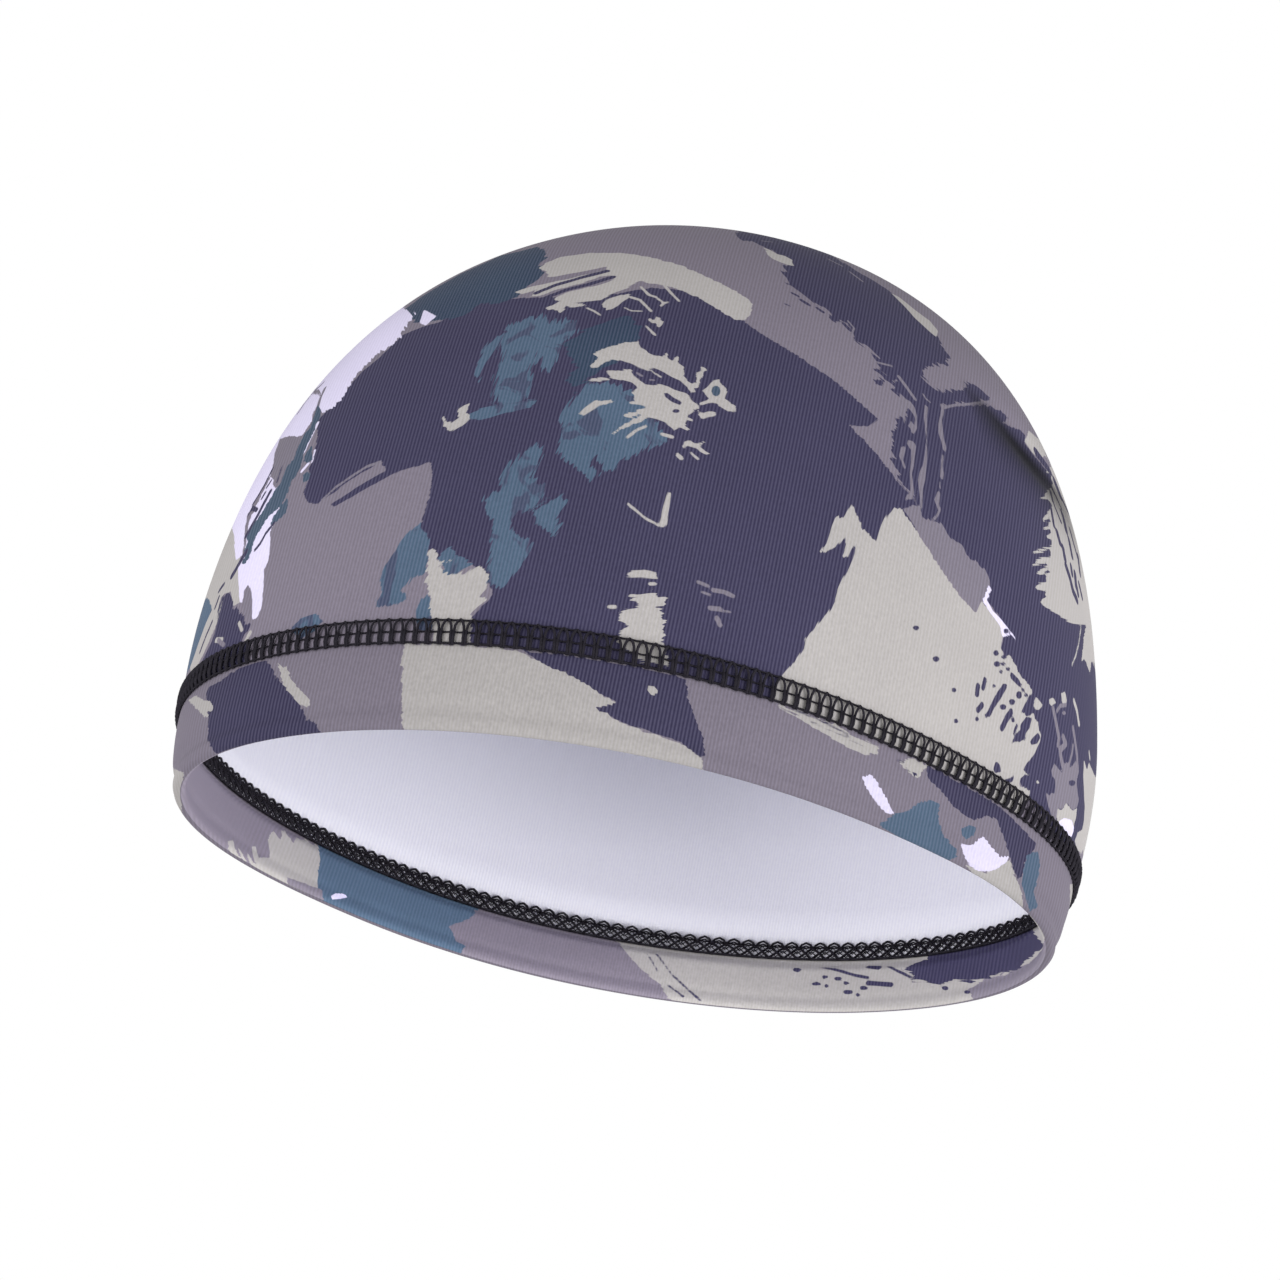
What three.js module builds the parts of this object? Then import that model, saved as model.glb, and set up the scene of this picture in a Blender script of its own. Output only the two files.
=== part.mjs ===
// Helmet liner: a close-fitting skull cap of thin stretch knit, in the shape that a head gives it.
// Millimetres, +Z up. The front of the head faces -Y and the wearer's left is +X.
// The origin is where the top of the head bears, on the inside of the crown.

import * as THREE from "three";

// Plan of the widest level, outside the cloth
const PLAN = { halfLength: 98, halfWidth: 80, squareness: 2.07, widerBehind: 0.02 };

// Dome: its top lies behind the middle of the plan, and its powers set how full it is
const DOME = { depth: 136, topBehind: 23, shoulderPower: 3, crownPower: 2.16 };

// Lower edge: a plane that drops towards the nape
const RIM = { depth: 131, slopeDeg: 10 };

// How far the elastic hem draws the wall in at the edge, and how high up that starts
const DRAW_IN = { side: 9, back: 6, height: 40 };

// Widths along the wall: front and back, because the hem stretches more behind
const BAND = { front: 15, back: 11.4 };
const SEAM = { front: 4.7, back: 4.3 };

// Soft crease over the wearer's left ear, level and fading at both ends
const CREASE = { fromDeg: 92, toDeg: 128, fromDepth: 41, toDepth: 57, deep: 1.4, halfWidth: 5 };

// Cloth and thread
const CROWN_WALL = 1;
const HEM_WALL = 2.2;
const THREAD = 0.5;
const GAP = 0.3;

// Mesh density
const TURNS = 72;
const CROWN_ROWS = 20;

// Half the hem's thickness is the radius of its fold
const FOLD = HEM_WALL / 2;

// Sections run once round each ring, seen with the outside on the left and the rim below.
// band and seam are shares of those widths above the rim, plus is in mm, inset is in mm inwards.
const HEM_SECTION = [
  { band: 1, seam: 0.5, plus: -GAP / 2, inset: 0 },
  { band: 0.75, seam: 0, plus: 0, inset: -0.2 },
  { band: 0.4, seam: 0, plus: 0, inset: -0.3 },
  { band: 0, seam: 0, plus: FOLD, inset: 0 },
  { band: 0, seam: 0, plus: 0.3 * FOLD, inset: 0.3 * FOLD },
  { band: 0, seam: 0, plus: 0, inset: FOLD },
  { band: 0, seam: 0, plus: 0.3 * FOLD, inset: 1.7 * FOLD },
  { band: 0, seam: 0, plus: FOLD, inset: HEM_WALL },
  { band: 0.45, seam: 0, plus: 0, inset: HEM_WALL },
  { band: 1, seam: 0, plus: -2, inset: 0.8 * HEM_WALL },
  { band: 1, seam: 0, plus: -0.2, inset: CROWN_WALL },
  { band: 1, seam: 0.5, plus: -GAP / 2, inset: CROWN_WALL },
];

const OUTER_SEAM_SECTION = [
  { band: 1, seam: 1, plus: 0, inset: -GAP },
  { band: 1, seam: 1, plus: -0.2, inset: -GAP - THREAD },
  { band: 1, seam: 0.5, plus: 0, inset: -GAP - THREAD },
  { band: 1, seam: 0, plus: 0.2, inset: -GAP - THREAD },
  { band: 1, seam: 0, plus: 0, inset: -GAP },
  { band: 1, seam: 0.5, plus: 0, inset: -GAP },
];

const INNER_SEAM_SECTION = [
  { band: 1, seam: 1, plus: 0, inset: CROWN_WALL + GAP },
  { band: 1, seam: 0.5, plus: 0, inset: CROWN_WALL + GAP },
  { band: 1, seam: 0, plus: 0.2, inset: CROWN_WALL + GAP },
  { band: 1, seam: 0, plus: 0.4, inset: CROWN_WALL + GAP + THREAD },
  { band: 1, seam: 0.5, plus: 0, inset: CROWN_WALL + GAP + THREAD },
  { band: 1, seam: 1, plus: -0.2, inset: CROWN_WALL + GAP + THREAD },
];

const DEGREE = Math.PI / 180;
const RIM_SLOPE = Math.tan(RIM.slopeDeg * DEGREE);

// A width that goes smoothly from its front value to its back value.
function widthAt(width, turn) {
  const middle = (width.front + width.back) / 2;
  return middle + ((width.front - width.back) / 2) * Math.cos(turn);
}

// Radius of the plan in one direction: turn is 0 at the front and a quarter turn at the left ear.
function planRadius(turn) {
  const side = Math.sin(turn);
  const back = -Math.cos(turn);
  const halfWidth = PLAN.halfWidth * (1 + PLAN.widerBehind * back);
  const power = PLAN.squareness;
  const sum = Math.abs(side / halfWidth) ** power + Math.abs(back / PLAN.halfLength) ** power;
  return sum ** (-1 / power);
}

// Share of the plan radius that the dome has reached at a depth below its top.
function domeShare(depth) {
  const left = Math.max(1 - depth / DOME.depth, 0);
  return (1 - left ** DOME.shoulderPower) ** (1 / DOME.crownPower);
}

// How far the crease dips inwards.
function creaseDip(turn, depth) {
  const along = (turn / DEGREE - CREASE.fromDeg) / (CREASE.toDeg - CREASE.fromDeg);
  if (along <= 0 || along >= 1) return 0;
  const middle = CREASE.fromDepth + along * (CREASE.toDepth - CREASE.fromDepth);
  const across = (depth - middle) / CREASE.halfWidth;
  return CREASE.deep * Math.sin(Math.PI * along) ** 2 * Math.exp(-across * across);
}

// Height of the rim plane at a distance behind the middle of the plan.
function rimHeight(behindMiddle) {
  return CROWN_WALL - RIM.depth - RIM_SLOPE * behindMiddle;
}

// Point on the outside of the cloth.
function wallPoint(turn, depth) {
  const side = Math.sin(turn);
  const back = -Math.cos(turn);
  const radius = planRadius(turn) * domeShare(depth);
  const middleY = -DOME.topBehind * Math.min(depth / DOME.depth, 1);
  const z = CROWN_WALL - depth;
  const behindMiddle = radius * back + middleY + DOME.topBehind;
  const aboveRim = z - rimHeight(behindMiddle);
  const pull = THREE.MathUtils.clamp(1 - aboveRim / DRAW_IN.height, 0, 2) ** 2;
  const behind = Math.max(back, 0) ** 2;
  const beside = 1 - back ** 2;
  const drawn = pull * (beside * DRAW_IN.side + behind * DRAW_IN.back);
  const reach = radius - drawn;
  return new THREE.Vector3(reach * side, reach * back + middleY, z);
}

// Point at a distance inwards from the outside of the cloth, square to it.
function clothPoint(turn, depth, inset) {
  const point = wallPoint(turn, depth);
  const step = Math.min(0.5, depth / 2);
  const round = wallPoint(turn + 0.01, depth).sub(wallPoint(turn - 0.01, depth));
  const down = wallPoint(turn, depth + step).sub(wallPoint(turn, depth - step));
  const outward = down.cross(round).normalize();
  return point.addScaledVector(outward, -inset - creaseDip(turn, depth));
}

// Depth at which the wall meets the rim plane.
function rimDepth(turn) {
  let depth = RIM.depth;
  for (let i = 0; i < 30; i++) {
    const point = wallPoint(turn, depth);
    depth += (point.z - rimHeight(point.y + DOME.topBehind)) / 2;
  }
  return depth;
}

// Depth of the place that lies a width above the rim, measured on the wall and square to the rim.
function depthAboveRim(turn, width) {
  const wanted = width * Math.hypot(1, RIM_SLOPE * Math.sin(turn));
  let depth = rimDepth(turn);
  let climbed = 0;
  let here = wallPoint(turn, depth);
  for (;;) {
    const next = wallPoint(turn, depth - 0.5);
    const stride = next.distanceTo(here);
    if (climbed + stride >= wanted) return depth - (0.5 * (wanted - climbed)) / stride;
    climbed += stride;
    depth -= 0.5;
    here = next;
  }
}

// Where a section's row lies at one turn.
function sectionPoint(row, turn) {
  const width = row.band * widthAt(BAND, turn) + row.seam * widthAt(SEAM, turn) + row.plus;
  return clothPoint(turn, depthAboveRim(turn, Math.max(width, 0)), row.inset);
}

// Closed rings of points, joined row by row. Each ring has TURNS points, from the front leftwards.
function ringOf(pointAt) {
  return Array.from({ length: TURNS }, (_, i) => pointAt((2 * Math.PI * i) / TURNS));
}

function geometryOf(points, faces) {
  const geometry = new THREE.BufferGeometry();
  geometry.setFromPoints(points);
  geometry.setIndex(faces.flat());
  geometry.computeVertexNormals();
  return geometry;
}

// Two triangles for each cell between one ring and the next.
function joinRings(first, second) {
  const faces = [];
  for (let i = 0; i < TURNS; i++) {
    const next = (i + 1) % TURNS;
    faces.push([first + i, second + i, second + next], [first + i, second + next, first + next]);
  }
  return faces;
}

// A closed ring swept round the head.
function sweptRing(section) {
  const points = section.flatMap((row) => ringOf((turn) => sectionPoint(row, turn)));
  const faces = section.flatMap((row, i) => joinRings(i * TURNS, ((i + 1) % section.length) * TURNS));
  return geometryOf(points, faces);
}

// The crown: an outer skin from the top down to the seam, and an inner skin back up.
function crownGeometry() {
  const bottom = (turn) => depthAboveRim(turn, widthAt(BAND, turn) + widthAt(SEAM, turn) / 2 + GAP / 2);
  const skin = (inset) =>
    Array.from({ length: CROWN_ROWS }, (_, i) => {
      const share = 1 - Math.cos((((i + 1) / CROWN_ROWS) * Math.PI) / 2);
      return ringOf((turn) => clothPoint(turn, bottom(turn) * share, inset));
    });
  const rings = [...skin(0), ...skin(CROWN_WALL).reverse()];
  const outerTop = rings.length * TURNS;
  const innerTop = outerTop + 1;
  const points = [...rings.flat(), new THREE.Vector3(0, 0, CROWN_WALL), new THREE.Vector3(0, 0, 0)];
  const faces = rings.slice(1).flatMap((_, i) => joinRings(i * TURNS, (i + 1) * TURNS));
  const last = (rings.length - 1) * TURNS;
  for (let i = 0; i < TURNS; i++) {
    const next = (i + 1) % TURNS;
    faces.push([outerTop, i, next], [innerTop, last + next, last + i]);
  }
  return geometryOf(points, faces);
}

function fabric(color, roughness) {
  return new THREE.MeshStandardMaterial({ color, roughness, metalness: 0 });
}

function piece(name, geometry, material) {
  const mesh = new THREE.Mesh(geometry, material);
  mesh.name = name;
  return mesh;
}

const liner = new THREE.Group();
liner.add(piece("crown", crownGeometry(), fabric(0x5b5a72, 0.75)));
liner.add(piece("hem_band", sweptRing(HEM_SECTION), fabric(0x948a98, 0.75)));
liner.add(piece("outer_seam", sweptRing(OUTER_SEAM_SECTION), fabric(0x26242c, 0.6)));
liner.add(piece("inner_seam", sweptRing(INNER_SEAM_SECTION), fabric(0x26242c, 0.6)));

export default liner;
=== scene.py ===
"""Helmet liner: a close-fitting skull cap of printed stretch knit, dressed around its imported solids.

Metres, +Z up. The front of the head faces -Y and the wearer's left is +X.
The cloth's form repeats the CAD's driving sizes, which are in millimetres, as the names say.
"""

import math
from collections import namedtuple

import bmesh
import bpy
import numpy as np
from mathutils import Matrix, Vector
from mathutils.bvhtree import BVHTree


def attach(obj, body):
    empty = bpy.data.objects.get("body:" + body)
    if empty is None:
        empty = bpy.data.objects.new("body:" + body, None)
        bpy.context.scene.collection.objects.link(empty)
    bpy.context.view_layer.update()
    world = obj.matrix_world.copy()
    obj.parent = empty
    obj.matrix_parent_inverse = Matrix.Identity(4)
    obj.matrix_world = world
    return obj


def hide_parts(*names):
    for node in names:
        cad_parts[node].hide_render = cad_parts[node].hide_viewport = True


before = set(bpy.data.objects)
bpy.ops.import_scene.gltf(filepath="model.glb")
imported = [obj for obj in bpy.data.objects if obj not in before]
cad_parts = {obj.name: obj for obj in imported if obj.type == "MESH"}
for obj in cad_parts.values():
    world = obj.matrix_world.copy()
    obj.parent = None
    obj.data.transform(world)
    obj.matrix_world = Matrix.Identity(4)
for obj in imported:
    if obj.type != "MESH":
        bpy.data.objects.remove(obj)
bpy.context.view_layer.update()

MM = 0.001
QUARTER = math.pi / 2

# ---------------------------------------------------------------- sizes of the cap, in mm

PLAN = {"half_length": 98, "half_width": 80, "squareness": 2.07, "wider_behind": 0.02}
DOME = {"depth": 136, "top_behind": 23, "shoulder_power": 3, "crown_power": 2.16}
RIM = {"depth": 131, "slope": math.tan(math.radians(10))}
DRAW_IN = {"side": 9, "back": 6, "height": 40}
BAND = {"front": 15, "back": 11.4}
SEAM = {"front": 4.7, "back": 4.3}
CREASE = {"from_deg": 92, "to_deg": 128, "from_depth": 41, "to_depth": 57, "deep": 1.4, "half_width": 5,
          "shade_above": 2.6, "shade_below": 9}
CROWN_WALL = 1.0
HEM_WALL = 2.2
GAP = 0.3
# Where crown and hem part, as a share of the seam's width above its lower edge
SPLIT = 0.08

# The hem's soft roll: its puffed body, and a groove at a share of the band's width, with how far each goes
HEM_PUFF = {"outside": 0.4, "inside": 0.15}
HEM_GROOVE = {"at": 0.24, "outside": 0.55, "outside_spread": 0.09, "inside": 0.2, "inside_spread": 0.07}

# From one stitch to the next along the seam, and the radius of each kind of thread
OUTER_PITCH = {"front": 2.15, "back": 3.2}
INNER_PITCH = {"front": 2.9, "back": 3.2}
OUTER_THREADS = {"top": 0.2, "foot": 0.21, "bar": 0.19, "rung": 0.36, "peak": 0.29}
INNER_THREADS = {"chain": 0.34, "crossing": 0.31, "filling": 0.15, "straight": 0.2, "arch": 0.3}

# Where the print is laid again on the sides that the photograph hides: azimuth, elevation, turn and shift in a
# picture, and how squarely the cloth has to face that way
UNSEEN_VIEWS = ((128, -11.4, 0, (0, 0), 0.45), (208, -11.4, 0, (0, 0), 0.5), (288, -11.4, 0, (0, 0), 0.45),
                (215, 62, 35, (-30, 40), 0.72))

# The same for the hem: azimuth, whether the print is mirrored to follow the rim's slope, and how far it shifts down
UNSEEN_HEM_VIEWS = ((148, False, 120), (218, True, 114), (288, True, 32))

# How squarely cloth has to face the other pictures from behind: on the crown, the hem and the hem's inner face
SQUARELY = {"crown": 0.25, "hem": 0.4, "lining": 0.3}

# The photograph: its camera, and its size in pixels
PHOTO = {"pixels": 1280, "focal_pixels": 3654, "azimuth": 38, "elevation": -11.4, "distance": 700}
LOOK_AT = (2.13, -21.34, -82.1)
SENSOR_MM = 36

# Laying the ink: pixels to a mm, and between two points of a cast outline; how far past the limb the print goes on,
# as a cosine; how fast it ends there and on the hidden sides, in mm to a unit of cosine; the pixels round an outline
# and the longest sound piece of it, in mm, that count; and the ragged edges of lines and of spots
PIXELS_PER_MM = 5.2
OUTLINE_STEP = 3
LIMB_REACH = 0.25
LIMB_FADE, HIDDEN_FADE = 80, 60
OUTLINE_MARGIN = 26
SOUND_SPAN = 6
LINE_RAGGED, SPOT_RAGGED = 0.08, 0.05
NO_INK = [-6.0, 0.3, 0.0, 0.0]

# The knit's look: its ribs' distance in mm, tone and share of the pale rib colour, the cloth's brightness, and shares
# of shade, fleck and streak
RIB_PITCH = 0.64
RIB_TONE = 0.12
RIB_SHOW = 0.12
KNIT_LIGHT = 0.94
LIMB_SHADE = 0.3
CREASE_DARK = 0.9
FLECK_SHOW = 0.3
TEAL_STREAKS = 0.6

# Mesh counts. The columns lie closer together on the photographed side, and faces beside a stroke's edge are cut
# finer, where they lie nearer to it than these limits in mm.
CROWN_COLUMNS = 252
CROWN_OUTER_ROWS = 102
CROWN_INNER_ROWS = 20
CROWN_CUT_LIMITS = (1.5, 0.75)
HEM_COLUMNS = 480
HEM_CUT_LIMITS = (0.9,)
CLOSER = 0.26
CASTING_COLUMNS, CASTING_ROWS, PAST_RIM = 180, 90, 7

# Softboxes, placed from the middle of the cap along the camera's directions, in metres, and the floor under it
Softbox = namedtuple("Softbox", "name forward right up size watts")
SOFTBOXES = (Softbox("front_softbox", -1.1, -1.25, 0.0, 0.9, 10.5),
             Softbox("low_softbox", -0.5, 1.0, -0.36, 0.7, 7.4))
FLOOR = {"half_width": 3, "height": -0.9, "shade": 0.8}


# ---------------------------------------------------------------- the print
#
# A brush-stroke camouflage in layers of ink, each over the one before. A patch of ink is an outline, laid on the
# cloth. On the photographed side its corners are pixels of the photograph, cast on the cloth from the photograph's
# camera. On the sides that the photograph hides, the same patches are cast again from other directions.
# lie is the brush's direction across the picture, in degrees above level.
# bristle is how far the dry brush breaks up the edge, in mm, and body how deep the broken edge may reach.

SOLID = 9.0
Patch = namedtuple("Patch", "ink lie bristle corners body", defaults=(SOLID,))
INKS = ("indigo", "teal_with_painted_shade", "teal", "chalk", "lilac", "mauve", "slate", "ink_drops")

CROWN_PATCHES = [
    # main dark mass
    Patch("indigo", 35, 0.35, [
        (440, 322), (470, 303), (520, 298), (600, 296), (650, 288), (690, 290), (720, 310), (742, 320), (760, 333),
        (800, 357), (840, 385), (878, 419), (868, 427), (849, 425), (862, 438), (880, 458), (898, 482), (915, 500),
        (922, 520), (900, 560), (960, 700), (960, 800), (780, 740), (640, 680), (470, 650), (470, 620), (476, 612),
        (490, 600), (492, 590), (487, 578), (470, 563), (440, 560), (424, 548), (418, 530), (424, 512), (429, 498),
        (432, 480), (431, 462), (400, 471), (370, 486), (345, 501), (335, 507), (331, 504), (345, 495), (366, 482),
        (386, 471), (381, 462), (360, 473), (340, 487), (322, 500), (318, 504), (308, 503), (303, 492), (309, 480),
        (309, 468), (314, 455), (317, 440), (318, 421), (326, 412), (340, 400), (350, 385), (362, 372), (380, 357),
        (392, 345), (402, 335), (420, 328)]),
    # broad stroke over the top, and the mass beside it
    Patch("indigo", -40, 1.1, [
        (733, 222), (738, 233), (742, 240), (752, 242), (763, 247), (776, 253), (790, 260), (794, 266), (783, 266),
        (786, 276), (789, 284), (796, 290), (804, 296), (811, 302), (819, 306), (826, 309), (831, 315), (832, 320),
        (840, 321), (847, 322), (853, 332), (852, 339), (859, 343), (867, 347), (873, 352), (877, 358), (880, 366),
        (872, 370), (886, 376), (873, 385), (884, 382), (897, 380), (892, 390), (903, 400), (905, 412), (897, 420),
        (893, 440), (893, 460), (898, 480), (915, 500), (930, 470), (945, 406), (985, 402), (990, 399), (978, 388),
        (964, 382), (968, 391), (942, 391), (932, 386), (922, 376), (925, 367), (950, 363), (948, 356), (943, 347),
        (937, 336), (925, 322), (905, 304), (890, 291), (872, 280), (850, 267), (830, 254), (800, 235),
        (760, 222)]),
    Patch("indigo", -80, 0.5, [
        (944, 407), (985, 404), (1001, 411), (1009, 418), (1001, 423), (1015, 428), (1026, 434), (1025, 444),
        (1034, 455), (1044, 468), (1062, 485), (1080, 520), (1090, 560), (1104, 600), (1104, 700), (1100, 790),
        (1088, 838), (1078, 852), (1060, 840), (1030, 800), (1015, 775), (1018, 740), (1020, 706), (1018, 692),
        (1006, 668), (1003, 645), (1008, 632), (996, 612), (986, 600), (990, 582), (985, 570), (968, 556),
        (950, 538), (940, 523), (922, 518), (915, 500), (920, 440)]),
    # at the picture's left edge, above the seam
    Patch("indigo", 60, 0.7, [
        (222, 597), (228, 591), (232, 597), (234, 608), (240, 608), (242, 615), (246, 618), (245, 625), (250, 623),
        (248, 632), (243, 632), (242, 640), (247, 646), (250, 680), (180, 730), (176, 700), (196, 672), (206, 655),
        (213, 640), (215, 630), (217, 622), (218, 608)]),
    Patch("teal", 60, 0.5, [
        (209, 596), (213, 608), (206, 625), (198, 645), (191, 668), (176, 680), (180, 640), (198, 600)]),
    # bluish teal at the upper left, darker than the rest: partly painted shade where the cap turns up and away from
    # the light, partly the print's darker tone
    Patch("teal_with_painted_shade", 30, 0.9, [
        (398, 314), (420, 298), (460, 274), (500, 256), (540, 246), (550, 257), (541, 264), (546, 272), (538, 280),
        (526, 286), (521, 292), (523, 298), (505, 301), (480, 305), (464, 316), (446, 320), (425, 322),
        (410, 322)]),
    Patch("teal", 70, 1.5, [
        (508, 328), (522, 320), (540, 315), (556, 322), (566, 318), (576, 330), (562, 345), (556, 360), (548, 373),
        (540, 360), (530, 370), (537, 385), (532, 399), (520, 402), (505, 406), (496, 409), (492, 395), (496, 375),
        (503, 360), (501, 345)], 1.5),
    Patch("teal", 55, 0.6, [(474, 372), (484, 350), (497, 336), (507, 331), (497, 345), (486, 362), (478, 382)]),
    Patch("teal", 15, 0.5, [(463, 419), (482, 408), (508, 403), (536, 401), (530, 408), (505, 412), (480, 420)]),
    Patch("teal", 60, 1.0, [
        (574, 396), (590, 384), (610, 382), (632, 390), (642, 398), (648, 405), (644, 416), (656, 422), (663, 431),
        (665, 441), (648, 448), (632, 458), (621, 462), (614, 472), (604, 468), (597, 457), (589, 462), (598, 474),
        (592, 482), (580, 472), (568, 462), (559, 451), (562, 430), (560, 415), (568, 405)]),
    # more of the darker teal, partly painted shade and partly the print's mottled tone
    Patch("teal_with_painted_shade", 15, 1.0, [
        (566, 342), (582, 332), (604, 322), (626, 316), (642, 326), (636, 340), (628, 354), (612, 363), (600, 373),
        (588, 381), (574, 392), (568, 380), (577, 368), (569, 356)]),
    Patch("teal", 62, 0.9, [
        (522, 452), (540, 440), (542, 455), (536, 470), (530, 478), (542, 484), (546, 496), (535, 508), (520, 512),
        (512, 520), (512, 529), (529, 540), (531, 552), (523, 566), (511, 579), (500, 587), (489, 585), (490, 560),
        (491, 540), (493, 522), (485, 513), (483, 500), (491, 494), (501, 490), (500, 478), (508, 466)], 3.0),
    Patch("teal", 50, 0.9, [
        (530, 510), (545, 504), (552, 499), (563, 496), (567, 504), (561, 515), (557, 526), (553, 537), (545, 530),
        (536, 521)], 2.0),
    Patch("teal", 60, 0.5, [
        (421, 523), (426, 535), (429, 548), (427, 562), (424, 573), (412, 577), (407, 584), (402, 590), (407, 598),
        (396, 604), (386, 606), (378, 608), (376, 602), (383, 592), (379, 581), (384, 568), (392, 556), (400, 542),
        (410, 532)]),
    Patch("teal", 80, 0.4, [(422, 598), (429, 594), (433, 606), (435, 630), (417, 630), (416, 610)]),
    Patch("teal", 20, 0.5, [(291, 632), (299, 620), (315, 615), (324, 622), (300, 640)]),
    Patch("slate", -58, 0.4, [
        (318, 404), (314, 416), (311, 427), (304, 434), (299, 446), (294, 458), (288, 470), (292, 473), (298, 465),
        (304, 452), (308, 444), (313, 434), (316, 424), (320, 418), (321, 410)]),
    Patch("slate", -58, 0.35, [
        (303, 455), (301, 466), (297, 474), (291, 482), (288, 492), (284, 500), (279, 508), (272, 513), (266, 520),
        (262, 527), (257, 534), (254, 542), (252, 550), (249, 558), (245, 564), (242, 563), (245, 556), (244, 550),
        (248, 542), (246, 537), (251, 528), (256, 521), (261, 514), (266, 505), (271, 497), (275, 490), (281, 483),
        (287, 471), (291, 462), (297, 456)]),
    Patch("slate", -58, 0.3, [
        (288, 497), (288, 507), (284, 515), (278, 520), (271, 525), (272, 519), (277, 512), (282, 505)]),
    Patch("slate", -60, 0.3, [(305, 455), (312, 445), (312, 460), (307, 464), (303, 462)]),
    Patch("slate", -60, 0.3, [(303, 474), (308, 471), (311, 474), (309, 480), (303, 483)]),
    Patch("teal", 20, 0.6, [
        (440, 552), (450, 547), (462, 558), (472, 564), (458, 573), (450, 579), (440, 576), (447, 567),
        (437, 561)]),
    # pale arc near the top
    Patch("chalk", 10, 0.35, [
        (540, 268), (548, 262), (560, 257), (590, 253), (620, 253), (650, 257), (680, 265), (705, 276), (730, 288),
        (746, 297), (752, 304), (750, 315), (745, 320), (736, 320), (722, 312), (708, 303), (695, 296), (680, 290),
        (668, 286), (655, 284), (640, 281), (626, 288), (612, 294), (600, 300), (588, 301), (574, 303), (563, 302),
        (556, 300), (557, 296), (572, 291), (596, 286), (614, 279), (618, 275), (600, 277), (578, 284), (556, 290),
        (540, 295), (531, 296), (536, 290), (522, 294), (516, 292), (530, 287), (552, 282), (580, 276), (607, 270),
        (606, 267), (580, 272), (556, 277), (545, 278), (549, 274)]),
    Patch("chalk", 35, 0.3, [
        (602, 305), (606, 300), (614, 297), (622, 295), (630, 294), (628, 298), (622, 302), (618, 306), (612, 309),
        (606, 310)]),
    Patch("chalk", 25, 0.5, [
        (540, 308), (552, 306), (562, 300), (576, 303), (588, 305), (578, 307), (566, 306), (560, 312),
        (552, 309)]),
    Patch("chalk", 35, 0.3, [
        (648, 318), (654, 320), (656, 316), (660, 318), (663, 322), (660, 328), (656, 324), (650, 322)]),
    # pale splash
    Patch("chalk", -25, 0.3, [
        (592, 354), (600, 350), (607, 348), (614, 346), (622, 343), (630, 342), (639, 341), (640, 347), (647, 350),
        (648, 353), (655, 355), (662, 356), (667, 353), (668, 358), (672, 361), (677, 356), (679, 357), (678, 363),
        (683, 367), (684, 376), (688, 382), (692, 384), (696, 382), (696, 376), (700, 371), (702, 367), (706, 369),
        (702, 376), (699, 386), (694, 388), (695, 392), (691, 393), (688, 387), (685, 384), (680, 380), (672, 377),
        (664, 373), (656, 369), (650, 368), (648, 371), (640, 368), (632, 364), (622, 361), (612, 360), (606, 361),
        (600, 366), (597, 367), (592, 368), (590, 366), (596, 360), (598, 357)]),
    Patch("chalk", -20, 0.3, [
        (588, 381), (596, 378), (604, 378), (612, 377), (606, 371), (612, 371), (622, 370), (631, 370), (633, 375),
        (640, 380), (645, 385), (655, 385), (662, 384), (668, 386), (674, 390), (680, 392), (686, 393), (690, 398),
        (696, 403), (699, 407), (698, 411), (694, 410), (688, 417), (692, 419), (693, 421), (688, 421), (684, 424),
        (690, 430), (687, 431), (680, 428), (674, 430), (670, 426), (664, 422), (656, 419), (648, 418), (640, 422),
        (632, 425), (622, 429), (614, 434), (612, 433), (620, 427), (628, 422), (637, 418), (640, 415), (630, 417),
        (624, 417), (625, 414), (632, 412), (640, 409), (645, 407), (640, 405), (630, 404), (628, 402), (635, 401),
        (634, 395), (631, 391), (636, 390), (636, 386), (632, 382), (622, 380), (610, 379), (600, 381)]),
    Patch("chalk", 30, 0.2, [
        (703, 391), (707, 388), (710, 383), (713, 380), (719, 379), (721, 384), (726, 388), (727, 392), (725, 398),
        (729, 402), (736, 406), (736, 411), (733, 412), (727, 411), (722, 408), (717, 404), (712, 403), (706, 404),
        (699, 405), (700, 402), (706, 401), (709, 399), (706, 395)]),
    Patch("chalk", 0, 0.2, [
        (699, 412), (704, 413), (708, 411), (713, 411), (716, 413), (715, 416), (708, 417), (702, 419),
        (699, 416)]),
    Patch("ink_drops", -20, 0.1, [
        (664, 393), (668, 393), (674, 398), (682, 402), (680, 405), (672, 402), (665, 397)]),
    Patch("chalk", 40, 0.3, [
        (579, 414), (586, 407), (595, 401), (612, 400), (615, 403), (600, 405), (592, 411), (584, 416)]),
    Patch("chalk", -15, 0.3, [
        (682, 446), (685, 441), (690, 440), (695, 443), (704, 441), (706, 443), (700, 446), (704, 450), (709, 454),
        (706, 455), (700, 451), (696, 448), (688, 446), (684, 448)]),
    Patch("chalk", 75, 0.2, [
        (668, 491), (671, 494), (669, 510), (667, 524), (664, 528), (658, 526), (661, 517), (664, 504)]),
    Patch("chalk", 35, 0.4, [
        (443, 417), (447, 424), (452, 423), (459, 418), (458, 409), (463, 405), (470, 404), (467, 412), (470, 418),
        (461, 425), (450, 431), (446, 428)]),
    # pale blot over the seam
    Patch("chalk", 5, 0.7, [
        (616, 637), (622, 631), (627, 626), (619, 614), (625, 608), (640, 605), (637, 602), (630, 600), (630, 595),
        (645, 594), (653, 591), (657, 598), (667, 597), (664, 606), (654, 606), (662, 610), (664, 620), (663, 632),
        (665, 642), (668, 665), (640, 660), (625, 648)]),
    Patch("chalk", 0, 0.2, [(624, 576), (632, 571), (645, 570), (656, 573), (658, 579), (646, 578), (632, 578)]),
    # the peaked pale patch
    Patch("chalk", 70, 0.35, [
        (760, 720), (776, 684), (786, 671), (796, 659), (804, 649), (805, 638), (813, 631), (821, 620), (831, 608),
        (835, 602), (838, 589), (843, 579), (850, 566), (855, 553), (856, 544), (852, 547), (847, 556), (842, 557),
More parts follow.
